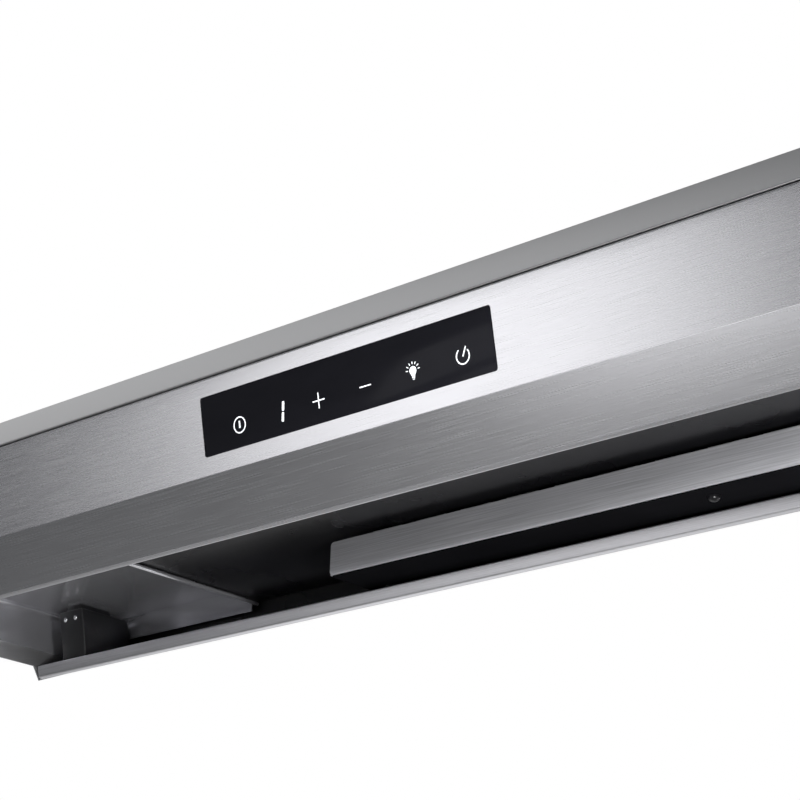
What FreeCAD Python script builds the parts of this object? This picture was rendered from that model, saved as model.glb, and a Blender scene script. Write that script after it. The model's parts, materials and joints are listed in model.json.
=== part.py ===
"""Under cabinet range hood, 36 inch class, as a parametric FreeCAD document.

Frame: +X along the width, +Y towards the wall, +Z up.  The origin is the middle of the four
cabinet screw holes, on the hood's top face, so the hood hangs below z = 0 and only the duct
collar with its damper stands above it.
"""
import FreeCAD, Part
import math
import os
import Sketcher

V = FreeCAD.Vector
doc = FreeCAD.newDocument("RangeHood")

# ---------------------------------------------------------------- driving sizes
SIZES = [
    ("width", 914.0, "overall width"),
    ("depth", 480.0, "fascia to wall face"),
    ("gauge", 1.0, "sheet metal thickness"),
    ("bevel", 23.3, "top strip, leg of the 45 degree bevel"),
    ("seam", 1.5, "open joint between top strip and fascia"),
    ("face_low", 83.0, "top face to the fascia's lower bend"),
    ("chin_run", 13.0, "how far the chin leans back"),
    ("chin_low", 117.4, "top face to the chin's lower bend"),
    ("lip_run", 15.0, "fascia to lip"),
    ("lip_low", 120.0, "top face to lip"),
    ("rim_run", 140.0, "fascia to the end of the front rim"),
    ("rim_low", 147.3, "top face to the end of the front rim"),
    ("belly_run", 144.0, "fascia to the lowest line"),
    ("belly_low", 158.2, "top face to the lowest line"),
    ("rear_low", 98.0, "height of the rear wall"),
    ("rim_turn", 12.3, "slope of the front underside, degrees"),
    ("filter_turn", 10.16, "slope of the filters, degrees"),
    ("screw_across", 800.0, "cabinet screws, side to side"),
    ("screw_along", 360.0, "cabinet screws, front to back"),
    ("screw_hole", 2.75, "cabinet screw hole radius"),
    ("wall_across", 600.0, "wall screws, side to side"),
    ("wall_hole", 3.5, "wall screw hole radius"),
    ("duct_run", 330.0, "fascia to duct axis"),
    ("duct_outer", 75.0, "duct collar outside radius"),
    ("duct_rise", 50.0, "duct collar height"),
    ("glass_half", 113.3, "half the control glass's width"),
    ("glass_top", 35.4, "top face to the glass's upper edge"),
    ("glass_low", 71.6, "top face to the glass's lower edge"),
    ("pan_rise", 42.0, "pan above the rim plane"),
    ("liner_rise", 31.5, "enamel liner above the rim plane"),
    ("pan_rear", 182.0, "pan length along the slope"),
    ("bay_left", 300.0, "middle to the left pan's flat edge"),
    ("bay_step", 278.0, "middle to the left rolled edge"),
    ("bay_right", 362.0, "middle to the right pan"),
    ("plate_left", 130.0, "middle to the suction plate's left end"),
    ("plate_right", 350.0, "middle to the suction plate's right end"),
    ("plate_near", 102.3, "lip to the suction plate, along the slope"),
    ("plate_deep", 45.0, "suction plate, front to back"),
    ("plate_rise", 4.8, "suction plate above the rim plane"),
    ("plate_flange", 22.0, "height of the suction plate's flange"),
    ("trough_deep", 56.0, "grease trough, front to back"),
    ("trough_lip", 147.7, "top face to the trough's front edge"),
    ("trough_foot", 155.9, "top face to the trough's lower bend"),
    ("trough_base", 157.6, "top face to the trough's floor at the front"),
    ("trough_half", 454.0, "half the trough's length"),
    ("filter_wide", 300.0, "one baffle filter's width"),
    ("filter_pitch", 302.0, "filter to filter"),
    ("filter_long", 256.0, "one baffle filter's length"),
    ("filter_thick", 12.0, "one baffle filter's thickness"),
    ("filter_run", 204.0, "fascia to the filters' front edge"),
    ("filter_low", 145.5, "top face to the filters' front edge"),
    ("rotor_low", 58.0, "top face to the rotor axis"),
    ("scroll_half", 120.0, "half the blower housing's width"),
    ("scroll_outer", 46.0, "blower housing radius"),
    ("rotor_outer", 38.0, "impeller radius"),
    ("rotor_long", 64.0, "one impeller's length"),
    ("rotor_near", 44.0, "middle to an impeller's inner end"),
    ("shaft_radius", 3.0, "motor shaft radius"),
    ("lamp_across", 230.0, "middle to a lamp"),
    ("lamp_run", 36.0, "lip to a lamp, along the slope"),
    ("lamp_radius", 30.0, "lamp bezel radius"),
    ("pin_offset", 3.5, "middle to a damper pin"),
    ("pin_radius", 1.2, "damper pin radius"),
    ("pin_rise", 24.0, "damper pins above the top face"),
    ("pin_play", 0.06, "running clearance of a damper barrel on its pin"),
    ("barrel_radius", 2.4, "damper barrel radius"),
    ("flap_gap", 1.2, "damper flap to collar"),
    ("duct_plate_half", 88.0, "half the duct plate's width"),
    ("flange_wide", 10.0, "duct flange beyond the collar"),
    ("flange_thick", 1.2, "duct flange thickness"),
    ("seam_return", 12.0, "sheet turned in behind the seam"),
    ("lip_return", 3.5, "lip to the sheet turned up behind it"),
    ("lip_return_rise", 37.5, "height of the sheet behind the lip"),
    ("rear_flange", 16.0, "flange along the rear panel's foot"),
    ("wall_drop", 30.0, "top face to the wall screws"),
    ("inlet_across", 385.0, "middle to the cable inlet"),
    ("inlet_run", 85.0, "fascia to the cable inlet"),
    ("inlet_hole", 11.0, "cable inlet hole radius"),
    ("rim_start", 4.0, "lip to the pans' front edge, along the slope"),
    ("slot_near", 112.0, "lip to the intake slots, along the slope"),
    ("slot_far", 142.0, "lip to the end of the intake slots"),
    ("slot_web", 10.0, "metal between two intake slots"),
    ("bead_radius", 1.6, "rolled edge radius"),
    ("lamp_ring", 5.0, "lamp bezel width"),
    ("hanger_outer", 432.5, "middle to a trough hanger's far side"),
    ("hanger_wide", 25.5, "trough hanger width"),
    ("hanger_run", 148.0, "fascia to the trough hangers"),
    ("hanger_deep", 44.0, "trough hanger, front to back"),
    ("neck_wide", 15.0, "trough hanger's neck width"),
    ("cross_run", 200.5, "fascia to the cross rail"),
    ("cross_low", 148.2, "top face to the cross rail's ledge"),
    ("trough_run", 142.0, "fascia to the grease trough"),
    ("filter_rim", 11.0, "filter frame's rim width"),
    ("channel_wide", 17.0, "baffle channel width"),
    ("channel_tall", 4.4, "baffle channel height"),
    ("channel_wall", 0.8, "baffle channel sheet"),
    ("upper_floor", 6.2, "filter's face to its upper channels"),
    ("lower_floor", 1.2, "filter's face to its lower channels"),
    ("latch_half", 22.0, "half a latch grip's width"),
    ("tongue_half", 9.0, "half a latch tongue's width"),
    ("scroll_wall", 1.5, "blower housing sheet"),
    ("tray_half", 77.0, "half the plenum tray, front to back"),
    ("tray_deep", 28.0, "plenum tray depth"),
    ("mouth_trim", 4.0, "impeller radius less inlet radius"),
    ("mouth_ring", 3.0, "inlet ring thickness"),
    ("motor_radius", 27.0, "motor can radius"),
    ("motor_half", 36.0, "half the motor's length"),
    ("capacitor_radius", 15.0, "run capacitor radius"),
    ("wheel_disc", 2.0, "impeller disc thickness"),
    ("wheel_rim", 7.0, "impeller rim width"),
    ("blade_thick", 0.9, "impeller blade thickness"),
    ("blade_deep", 6.5, "impeller blade depth"),
    ("glass_sink", 0.4, "fascia to the control glass's face"),
    ("glass_thick", 3.0, "control glass thickness"),
    ("glass_corner", 1.6, "control glass corner radius"),
    ("glass_play", 0.2, "gap round the control glass"),
    ("inlay", 0.15, "thickness of the lit symbols"),
    ("box_outer", 440.0, "middle to the junction box's far side"),
    ("box_long", 110.0, "junction box length"),
    ("box_run", 45.0, "fascia to the junction box"),
    ("box_deep", 85.0, "junction box, front to back"),
    ("box_low", 50.0, "top face to the junction box's rim"),
    ("box_wall", 1.2, "junction box wall"),
]
BLADES = 24            # blades on each impeller
UPPER_BAFFLES = 9      # channels in a filter's upper row
INTAKE_SLOTS = 12      # slots in the liner over the suction plate
LEAN = 20              # a blade's angle to the wheel's radius, degrees
FILTERS = ("left", "centre", "right")
SIDE_SCREWS = ((-190, -40), (0, -70), (200, -40))        # Y and Z on each side panel
PLATE_STUDS = (-110, 110, 330)                           # X of the studs that hang the plate
PLATE_SCREWS = ((154, 14), (-110, 36), (338, 36))        # X, and distance behind the flange
HANGER_SCREWS = (7, 18)                                  # across a hanger's front

sheet = doc.addObject("Spreadsheet::Sheet", "Sizes")
for row, (alias, value, meaning) in enumerate(SIZES, 1):
    sheet.set(f"A{row}", meaning)
    sheet.set(f"B{row}", str(value))
    sheet.setAlias(f"B{row}", alias)
doc.recompute()


class Measure:
    """A length or angle that knows its number and the spreadsheet formula that drives it."""

    def __init__(self, number, formula):
        self.number = float(number)
        self.formula = formula

    @staticmethod
    def of(value):
        return value if isinstance(value, Measure) else Measure(value, f"({value:.6f})")

    def _with(self, other, sign, number):
        return Measure(number, f"({self.formula} {sign} {other.formula})")

    def __add__(self, other):
        other = Measure.of(other)
        return self._with(other, "+", self.number + other.number)

    def __sub__(self, other):
        other = Measure.of(other)
        return self._with(other, "-", self.number - other.number)

    def __mul__(self, other):
        other = Measure.of(other)
        return self._with(other, "*", self.number * other.number)

    def __truediv__(self, other):
        other = Measure.of(other)
        return self._with(other, "/", self.number / other.number)

    def __radd__(self, other):
        return Measure.of(other) + self

    def __rsub__(self, other):
        return Measure.of(other) - self

    def __rmul__(self, other):
        return Measure.of(other) * self

    def __neg__(self):
        return Measure.of(0) - self


class Sizes:
    """Every spreadsheet alias as a Measure, such as S.width."""

    def __init__(self):
        for alias, value, _ in SIZES:
            setattr(self, alias, Measure(value, f"Sizes.{alias}"))


S = Sizes()
LEFT = -S.width / 2
RIGHT = S.width / 2
FRONT = -S.depth / 2
REAR = S.depth / 2
AXIS_TURN = {
    "X": FreeCAD.Rotation(V(0, 1, 0), 90),
    "Y": FreeCAD.Rotation(V(1, 0, 0), -90),
    "Z": FreeCAD.Rotation(),
}


# ---------------------------------------------------------------- helpers
def bind(obj, prop, value):
    """Drive a property from the spreadsheet."""
    obj.setExpression(prop, Measure.of(value).formula)


def place(obj, at=(0, 0, 0), rotation=None):
    """Put an object at a point, each coordinate driven from the spreadsheet."""
    obj.Placement = FreeCAD.Placement(V(), rotation or FreeCAD.Rotation())
    for letter, value in zip("xyz", at):
        bind(obj, f"Placement.Base.{letter}", value)
    return obj


def tilt(obj, at, angle):
    """Put an object at a point and turn it about the X direction by a driven angle."""
    place(obj, at, FreeCAD.Rotation(V(1, 0, 0), Measure.of(angle).number))
    bind(obj, "Placement.Rotation.Angle", angle)
    return obj


def on_rim(obj):
    """Put an object drawn on the rim plane's own axes into place: origin on the lip."""
    obj.Placement = FreeCAD.Placement(V(), FreeCAD.Rotation(V(-1, 0, 0), S.rim_turn.number))
    bind(obj, "Placement.Rotation.Angle", S.rim_turn)
    bind(obj, "Placement.Base.y", FRONT + S.lip_run)
    bind(obj, "Placement.Base.z", -S.lip_low)
    return obj


def block(name, across, along, up):
    """A Part::Box between pairs of X, Y and Z values."""
    obj = doc.addObject("Part::Box", name)
    for prop, (low, high) in zip(("Length", "Width", "Height"), (across, along, up)):
        bind(obj, prop, Measure.of(high) - low)
    return place(obj, [span[0] for span in (across, along, up)])


def rod(name, radius, length, at, axis="Z"):
    """A Part::Cylinder that starts at a point and runs along +X, +Y or +Z."""
    obj = doc.addObject("Part::Cylinder", name)
    bind(obj, "Radius", radius)
    bind(obj, "Height", length)
    return place(obj, at, AXIS_TURN[axis])


def fuse(name, *parts):
    """One solid from several."""
    obj = doc.addObject("Part::MultiFuse", name)
    obj.Shapes = list(parts)
    obj.Refine = True
    return obj


def cut(name, base, *tools):
    """A solid less one or more tools."""
    tool = tools[0]
    if len(tools) > 1:
        tool = doc.addObject("Part::MultiFuse", f"{name}_tools")
        tool.Shapes = list(tools)
    obj = doc.addObject("Part::Cut", name)
    obj.Base = base
    obj.Tool = tool
    return obj


def group(name, *parts):
    """Separate solids that share one node."""
    obj = doc.addObject("Part::Compound", name)
    obj.Links = list(parts)
    return obj


def tube(name, outer, inner, length, at, axis="Z"):
    """A round tube."""
    return cut(name, rod(f"{name}_outside", outer, length, at, axis),
               rod(f"{name}_bore", inner, length, at, axis))


def plane_of(body, role):
    """One of a body's own origin planes."""
    return next(item for item in body.Origin.OriginFeatures if item.Role == role)


def new_sketch(body, name, role):
    """An empty sketch on one of a body's origin planes."""
    sketch = body.newObject("Sketcher::SketchObject", name)
    sketch.AttachmentSupport = [(plane_of(body, role), "")]
    sketch.MapMode = "FlatFace"
    return sketch


def draw_outline(sketch, points):
    """A closed outline of straight edges whose corners are driven from the spreadsheet."""
    corners = [(Measure.of(x), Measure.of(y)) for x, y in points]
    first = sketch.GeometryCount
    ends = [V(x.number, y.number, 0) for x, y in corners]
    for start, end in zip(ends, ends[1:] + ends[:1]):
        sketch.addGeometry(Part.LineSegment(start, end), False)
    count = len(corners)
    for edge in range(count):
        following = first + (edge + 1) % count
        sketch.addConstraint(Sketcher.Constraint("Coincident", first + edge, 2, following, 1))
    for edge, corner in enumerate(corners):
        for kind, value in zip(("DistanceX", "DistanceY"), corner):
            index = sketch.addConstraint(
                Sketcher.Constraint(kind, -1, 1, first + edge, 1, value.number))
            bind(sketch, f"Constraints[{index}]", value)


def draw_circle(sketch, centre, radius):
    """A circle whose centre and radius are driven from the spreadsheet."""
    x, y = Measure.of(centre[0]), Measure.of(centre[1])
    radius = Measure.of(radius)
    edge = sketch.addGeometry(Part.Circle(V(x.number, y.number, 0), V(0, 0, 1), radius.number))
    index = sketch.addConstraint(Sketcher.Constraint("Radius", edge, radius.number))
    bind(sketch, f"Constraints[{index}]", radius)
    for kind, value in (("DistanceX", x), ("DistanceY", y)):
        index = sketch.addConstraint(Sketcher.Constraint(kind, -1, 1, edge, 3, value.number))
        bind(sketch, f"Constraints[{index}]", value)


def extrusion(name, role, outline, length, reverse=False):
    """A PartDesign body: one outline padded from an origin plane."""
    body = doc.addObject("PartDesign::Body", name)
    sketch = new_sketch(body, f"{name}_outline", role)
    draw_outline(sketch, outline)
    pad = body.newObject("PartDesign::Pad", f"{name}_pad")
    pad.Profile = sketch
    bind(pad, "Length", length)
    pad.Reversed = reverse
    return body


def pierce(body, name, role, circles=(), outlines=()):
    """Cut holes and windows right through a body, both ways from an origin plane."""
    doc.recompute()
    before = body.Shape.Volume
    sketch = new_sketch(body, f"{name}_sketch", role)
    for centre, radius in circles:
        draw_circle(sketch, centre, radius)
    for outline in outlines:
        draw_outline(sketch, outline)
    pocket = body.newObject("PartDesign::Pocket", name)
    pocket.Profile = sketch
    pocket.Type = "ThroughAll"
    pocket.SideType = "Symmetric"
    doc.recompute()
    if body.Shape.Volume >= before:
        raise RuntimeError(f"{name} cuts nothing")


def folded(path, gauge):
    """A bent sheet's outline: a path, and the same path one gauge to its left."""
    numbers = [(Measure.of(x).number, Measure.of(y).number) for x, y in path]
    normals = []
    for (x0, y0), (x1, y1) in zip(numbers, numbers[1:]):
        length = math.hypot(x1 - x0, y1 - y0)
        normals.append(((y0 - y1) / length, (x1 - x0) / length))
    inside = []
    for index, (x, y) in enumerate(path):
        before = normals[max(index - 1, 0)]
        after = normals[min(index, len(normals) - 1)]
        share = 1 + before[0] * after[0] + before[1] * after[1]
        mitre = ((before[0] + after[0]) / share, (before[1] + after[1]) / share)
        inside.append((x + mitre[0] * gauge, y + mitre[1] * gauge))
    return list(path) + inside[::-1]


nodes = {}


def node(obj, name):
    """Name an object as one of the hood's pieces."""
    obj.Label = name
    nodes[name] = obj
    return obj


# ---------------------------------------------------------------- outer body
def outer_body():
    """Top, fascia, sides and back."""
    inner_length = S.width - 2 * S.gauge
    # The extruded sheets start at the left inner wall, so their own X runs from there.
    middle = S.width / 2 - S.gauge
    top_of_hood(inner_length, middle)

    top_edge = -S.bevel - S.seam
    face = [(FRONT + S.seam_return, top_edge), (FRONT, top_edge), (FRONT, -S.face_low),
            (FRONT + S.chin_run, -S.chin_low), (FRONT + S.lip_run, -S.lip_low),
            (FRONT + S.lip_run + S.lip_return, -S.lip_low + 0.8),
            (FRONT + S.lip_run + S.lip_return, -S.lip_low + S.lip_return_rise)]
    fascia = extrusion("fascia_sheet", "YZ_Plane", folded(face, S.gauge), inner_length)
    place(fascia, (LEFT + S.gauge, 0, 0))
    reach = S.glass_half + S.glass_play
    high, low = S.glass_play - S.glass_top, -S.glass_low - S.glass_play
    window = [(middle - reach, high), (middle + reach, high),
              (middle + reach, low), (middle - reach, low)]
    doc.recompute()
    whole = fascia.Shape.Volume
    sketch = new_sketch(fascia, "glass_window_sketch", "XZ_Plane")
    draw_outline(sketch, window)
    pocket = fascia.newObject("PartDesign::Pocket", "glass_window")
    pocket.Profile = sketch
    # The plane's normal is -Y, so a plain pocket would run to the wall: this one runs forwards
    # from just behind the fascia sheet.
    sketch.AttachmentOffset = FreeCAD.Placement(V(0, 0, S.depth.number / 2 - 6), FreeCAD.Rotation())
    pocket.Reversed = True
    pocket.Length = 10
    doc.recompute()
    if fascia.Shape.Volume >= whole:
        raise RuntimeError("the glass window cuts nothing")
    node(fascia, "front_fascia")

    side = [(FRONT + S.bevel, 0), (REAR, 0), (REAR, -S.rear_low),
            (FRONT + S.belly_run, -S.belly_low), (FRONT + S.rim_run, -S.rim_low),
            (FRONT + S.lip_run, -S.lip_low), (FRONT + S.chin_run, -S.chin_low),
            (FRONT, -S.face_low), (FRONT, -S.bevel)]
    for name, x in (("left", LEFT), ("right", RIGHT - S.gauge)):
        panel = extrusion(f"side_sheet_{name}", "YZ_Plane", side, S.gauge)
        node(place(panel, (x, 0, 0)), f"side_panel_{name}")

    back = [(REAR - S.gauge, 0), (REAR, 0), (REAR, -S.rear_low),
            (REAR - S.rear_flange, -S.rear_low - 2.8),
            (REAR - S.rear_flange, -S.rear_low - 1.8),
            (REAR - S.gauge, -S.rear_low + 0.9)]
    rear = extrusion("rear_sheet", "YZ_Plane", back, inner_length)
    place(rear, (LEFT + S.gauge, 0, 0))
    wall_holes = [((middle + side_sign * S.wall_across / 2, -S.wall_drop), S.wall_hole)
                  for side_sign in (-1, 1)]
    doc.recompute()
    whole = rear.Shape.Volume
    sketch = new_sketch(rear, "wall_holes_sketch", "XZ_Plane")
    for centre, radius in wall_holes:
        draw_circle(sketch, centre, radius)
    pocket = rear.newObject("PartDesign::Pocket", "wall_holes")
    pocket.Profile = sketch
    pocket.Type = "ThroughAll"
    pocket.SideType = "Symmetric"
    doc.recompute()
    if rear.Shape.Volume >= whole:
        raise RuntimeError("the wall holes cut nothing")
    node(rear, "rear_panel")


def top_of_hood(inner_length, middle):
    """The top in four flush sheets: the front one with its strip, two wings, a duct plate."""
    duct_y, half = FRONT + S.duct_run, S.duct_plate_half
    seam_y = duct_y - half
    strip = [(seam_y, 0), (FRONT + S.bevel, 0), (FRONT, -S.bevel),
             (FRONT + S.seam_return, -S.bevel)]
    top = extrusion("top_sheet", "YZ_Plane", folded(strip, S.gauge), inner_length)
    place(top, (LEFT + S.gauge, 0, 0))
    holes = [((middle + sign * S.screw_across / 2, -S.screw_along / 2), S.screw_hole)
             for sign in (-1, 1)]
    holes.append(((middle - S.inlet_across, FRONT + S.inlet_run), S.inlet_hole))
    pierce(top, "top_holes", "XY_Plane", circles=holes)
    node(top, "top_panel")
    along, up = (seam_y, REAR - S.gauge), (-S.gauge, 0)
    for name, sign, across in (("left", -1, (LEFT + S.gauge, -half)),
                               ("right", 1, (half, RIGHT - S.gauge))):
        wing = block(f"wing_sheet_{name}", across, along, up)
        hole = rod(f"wing_hole_{name}", S.screw_hole, 3 * S.gauge,
                   (sign * S.screw_across / 2, S.screw_along / 2, -2 * S.gauge))
        node(cut(f"wing_{name}", wing, hole), f"top_wing_{name}")
    square = block("duct_square", (-half, half), along, up)
    way = rod("duct_way", S.duct_outer - S.gauge, 3 * S.gauge, (0, duct_y, -2 * S.gauge))
    node(cut("duct_square_cut", square, way), "duct_plate")


def side_screws():
    """Low domed screws that hold the side panels to the folded sheets."""
    heads = []
    for x, turn in ((LEFT, -90), (RIGHT, 90)):
        for y, z in SIDE_SCREWS:
            head = doc.addObject("Part::Cone", "side_screw")
            head.Radius1 = 4.0
            head.Radius2 = 2.6
            head.Height = 1.6
            heads.append(place(head, (x, y, z), FreeCAD.Rotation(V(0, 1, 0), turn)))
    node(group("side_screw_heads", *heads), "side_screws")


# ---------------------------------------------------------------- front underside
def rim_group():
    """Everything that is parallel to the rim plane, drawn on that plane's own axes."""
    start = S.rim_start
    for name, sign, flat, step in (("pan_left", -1, S.bay_left, S.bay_step),
                                   ("pan_right", 1, S.bay_right + 20, S.bay_right)):
        wall = sign * (S.width / 2 - S.gauge)
        low = [(wall, S.pan_rise), (sign * flat, S.pan_rise), (sign * step, S.liner_rise)]
        high = [(x, rise + S.gauge) for x, rise in low[::-1]]
        pan = extrusion(f"{name}_sheet", "XZ_Plane", low + high, S.pan_rear, reverse=True)
        node(on_rim(pan), name)

    liner = block("liner_sheet", (-S.bay_step + 0.3, S.bay_right - 0.3), (start, S.pan_rear),
                  (S.liner_rise, S.liner_rise + S.gauge))
    slots = []
    slot_pitch = (S.plate_left + S.plate_right - 40) / INTAKE_SLOTS
    for index in range(INTAKE_SLOTS):
        x = -S.plate_left + 25 + index * slot_pitch
        slots.append(block("intake_slot", (x, x + slot_pitch - S.slot_web),
                           (S.slot_near, S.slot_far), (S.liner_rise - 1, S.liner_rise + 3)))
    lamps = [rod("lamp_hole", S.lamp_radius - 4, 6,
                 (sign * S.lamp_across, S.lamp_run, S.liner_rise - 2)) for sign in (-1, 1)]
    node(on_rim(cut("liner_with_slots", liner, *slots, *lamps)), "enamel_liner")

    bead = rod("bead", S.bead_radius, S.pan_rear - start,
               (-S.bay_step, start, S.liner_rise - S.bead_radius - 0.1), "Y")
    node(on_rim(group("bead_edge", bead)), "rolled_edge")

    suction_plate()
    lamp_set()
    rim_hangers()


def suction_plate():
    """The deflector plate under the slots: steel tray, black underlay, studs and screws."""
    near, low = S.plate_near, S.plate_rise
    far = near + S.plate_deep
    ends = (-S.plate_left, S.plate_right)
    shell = block("tray_outside", ends, (near, far), (low, low + S.plate_flange))
    hollow = block("tray_inside", (ends[0] + S.gauge, ends[1] - S.gauge),
                   (near + S.gauge, far - S.gauge), (low + S.gauge, low + S.plate_flange + 1))
    back_cut = block("tray_back", (ends[0] - 1, ends[1] + 1), (far - 20, far + 1),
                     (low + 9, low + S.plate_flange + 1))
    node(on_rim(cut("tray", shell, hollow, back_cut)), "suction_plate")
    skin = block("skin", (ends[0] + 1.5, ends[1] - 1.5), (near + 1, far - 1), (low - 1.2, low))
    node(on_rim(group("skin_group", skin)), "plate_underlay")

    studs = [rod("stud", 4, S.liner_rise - low - S.gauge, (x, near + 30, low + S.gauge))
             for x in PLATE_STUDS]
    node(on_rim(group("studs", *studs)), "plate_studs")
    heads = []
    for x, behind in PLATE_SCREWS:
        ball = doc.addObject("Part::Sphere", "dome")
        ball.Radius = 3.6
        ball.Angle1 = -90
        ball.Angle2 = 0
        heads.append(place(ball, (x, near + behind, low - 1.2)))
    node(on_rim(group("domes", *heads)), "plate_screws")


def lamp_set():
    """Two round lamps in the liner, near the lip."""
    for name, sign in (("left", -1), ("right", 1)):
        x, y = sign * S.lamp_across, S.lamp_run
        under = S.liner_rise
        inner = S.lamp_radius - S.lamp_ring
        bezel = tube(f"bezel_{name}", S.lamp_radius, inner, 2, (x, y, under - 2))
        node(on_rim(bezel), f"lamp_bezel_{name}")
        lens = rod(f"lens_{name}", inner - 0.2, 2.4, (x, y, under - 1.4))
        node(on_rim(group(f"lens_group_{name}", lens)), f"lamp_lens_{name}")
        body = rod(f"lamp_{name}", inner - 0.4, 10, (x, y, under + 1.2))
        fins = [block("fin", (x + step * 8 - 1, x + step * 8 + 1), (y - 16, y + 16),
                      (under + 11, under + 18)) for step in (-1, 0, 1)]
        node(on_rim(fuse(f"lamp_fused_{name}", body, *fins)), f"lamp_body_{name}")


def rim_hangers():
    """Black blocks that hang from the pans and carry the trough's two ends."""
    screws = []
    near = FRONT + S.hanger_run
    far = near + S.hanger_deep
    for name, low_x in (("left", -S.hanger_outer), ("right", S.hanger_outer - S.hanger_wide)):
        side = [(near, -111.6), (far, -121.2), (far, -146.6), (near, -154.2)]
        hanger = extrusion(f"hanger_{name}_block", "YZ_Plane", side, S.hanger_wide)
        place(hanger, (low_x, 0, 0))
        neck_side = [(near + 4, -113.2), (near + 32, -119.3),
                     (near + 32, -113.6), (near + 4, -107.4)]
        neck = extrusion(f"hanger_{name}_neck", "YZ_Plane", neck_side, S.neck_wide)
        place(neck, (low_x + 5, 0, 0))
        node(fuse(f"hanger_{name}_fused", hanger, neck), f"trough_hanger_{name}")
        for offset in HANGER_SCREWS:
            screws.append(rod("hanger_screw", 1.8, 1.2, (low_x + offset, near - 1.2, -118), "Y"))
    node(group("hanger_screw_group", *screws), "hanger_screws")


# ---------------------------------------------------------------- rear underside
def rails():
    """The cross rail in front of the filters and the rail behind them."""
    inner_length = S.width - 2 * S.gauge
    cross = [(FRONT + S.cross_run, -124.8), (FRONT + S.cross_run, -S.cross_low),
             (FRONT + S.cross_run + 4.7, 0.8 - S.cross_low)]
    ledge = extrusion("cross_sheet", "YZ_Plane", folded(cross, S.gauge), inner_length)
    node(place(ledge, (LEFT + S.gauge, 0, 0)), "cross_rail")
    behind = [(FRONT + 463, -98.9), (REAR - 1.2, -96.0), (REAR - 1.2, -80)]
    rail = extrusion("rear_rail_sheet", "YZ_Plane", folded(behind, S.gauge), inner_length)
    node(place(rail, (LEFT + S.gauge, 0, 0)), "rear_rail")


def filters():
    """Three baffle filters, each a frame, two rows of channels and a slide latch."""
    wide, long, thick = S.filter_wide, S.filter_long, S.filter_thick
    rim = S.filter_rim
    outside = block("frame_outside", (-wide / 2, wide / 2), (0, long), (0, thick))
    inside = block("frame_inside", (-wide / 2 + 1, wide / 2 - 1), (1, long - 1), (1, thick - 1))
    window = block("frame_window", (-wide / 2 + rim, wide / 2 - rim), (rim, long - rim - 12),
                   (-1, thick + 1))
    frame = cut("frame_shell", outside, inside, window)
    channels = baffles(wide, long, thick)
    across = (-S.latch_half, S.latch_half)
    grip = block("latch_grip", across, (long - 26, long - 6), (-1.9, -0.4))
    tab = block("latch_tab", across, (long - 26, long - 24), (-4.4, -1.9))
    tongue = block("latch_tongue", (-S.tongue_half, S.tongue_half), (long - 7, long + 4),
                   (-1.9, -0.4))
    for index, name in enumerate(FILTERS):
        at = ((index - 1) * S.filter_pitch, FRONT + S.filter_run, -S.filter_low)
        pieces = (
            (group(f"frame_{name}", frame), f"filter_frame_{name}"),
            (group(f"channels_{name}", *channels), f"filter_baffles_{name}"),
            (group(f"latch_{name}", fuse(f"latch_fused_{name}", grip, tab, tongue)),
             f"filter_latch_{name}"),
        )
        for piece, label in pieces:
            node(tilt(piece, at, S.filter_turn), label)


def baffles(wide, long, thick):
    """U channels in two rows, the lower ones open upwards and the upper ones downwards."""
    half, wall, tall = S.channel_wide / 2, S.channel_wall, S.channel_tall
    pitch = (wide - 2 * S.filter_rim) / UPPER_BAFFLES
    made = []
    for row, count, floor in (("upper", UPPER_BAFFLES, S.upper_floor),
                              ("lower", UPPER_BAFFLES - 1, S.lower_floor)):
        for index in range(count):
            x = (index - (count - 1) / 2) * pitch
            sides = (x - half, x + half)
            walls = (x - half + wall, x + half - wall)
            run = (2, long - 2)
            outer = block(f"{row}_outer", sides, run, (floor, floor + tall))
            if row == "upper":
                gap = (floor - 1, floor + tall - wall)
            else:
                gap = (floor + wall, floor + tall + 1)
            inner = block(f"{row}_inner", walls, (1, long - 1), gap)
            made.append(cut(f"{row}_channel", outer, inner))
    return made


def grease_trough():
    """The long trough along the lowest line, with closed ends and a hemmed front edge."""
    near = FRONT + S.trough_run
    far = near + S.trough_deep
    back_top = -S.trough_lip + 9
    slope = S.trough_deep * 0.17
    outside = [(far, back_top), (far, -S.trough_base + slope), (near + 2.6, -S.trough_base),
               (near, -S.trough_foot), (near, -S.trough_lip)]
    inside = [(far - 1, back_top + 3), (far - 1, -S.trough_base + slope + 1.2),
              (near + 3, -S.trough_base + 1.2), (near + 1, -S.trough_foot + 0.5),
              (near + 1, -S.trough_lip + 3)]
    half = S.trough_half
    solid = place(extrusion("trough_solid", "YZ_Plane", outside, 2 * half), (-half, 0, 0))
    hollow = place(extrusion("trough_hollow", "YZ_Plane", inside, 2 * half - 2), (1 - half, 0, 0))
    node(cut("trough_shell", solid, hollow), "grease_trough")


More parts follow.
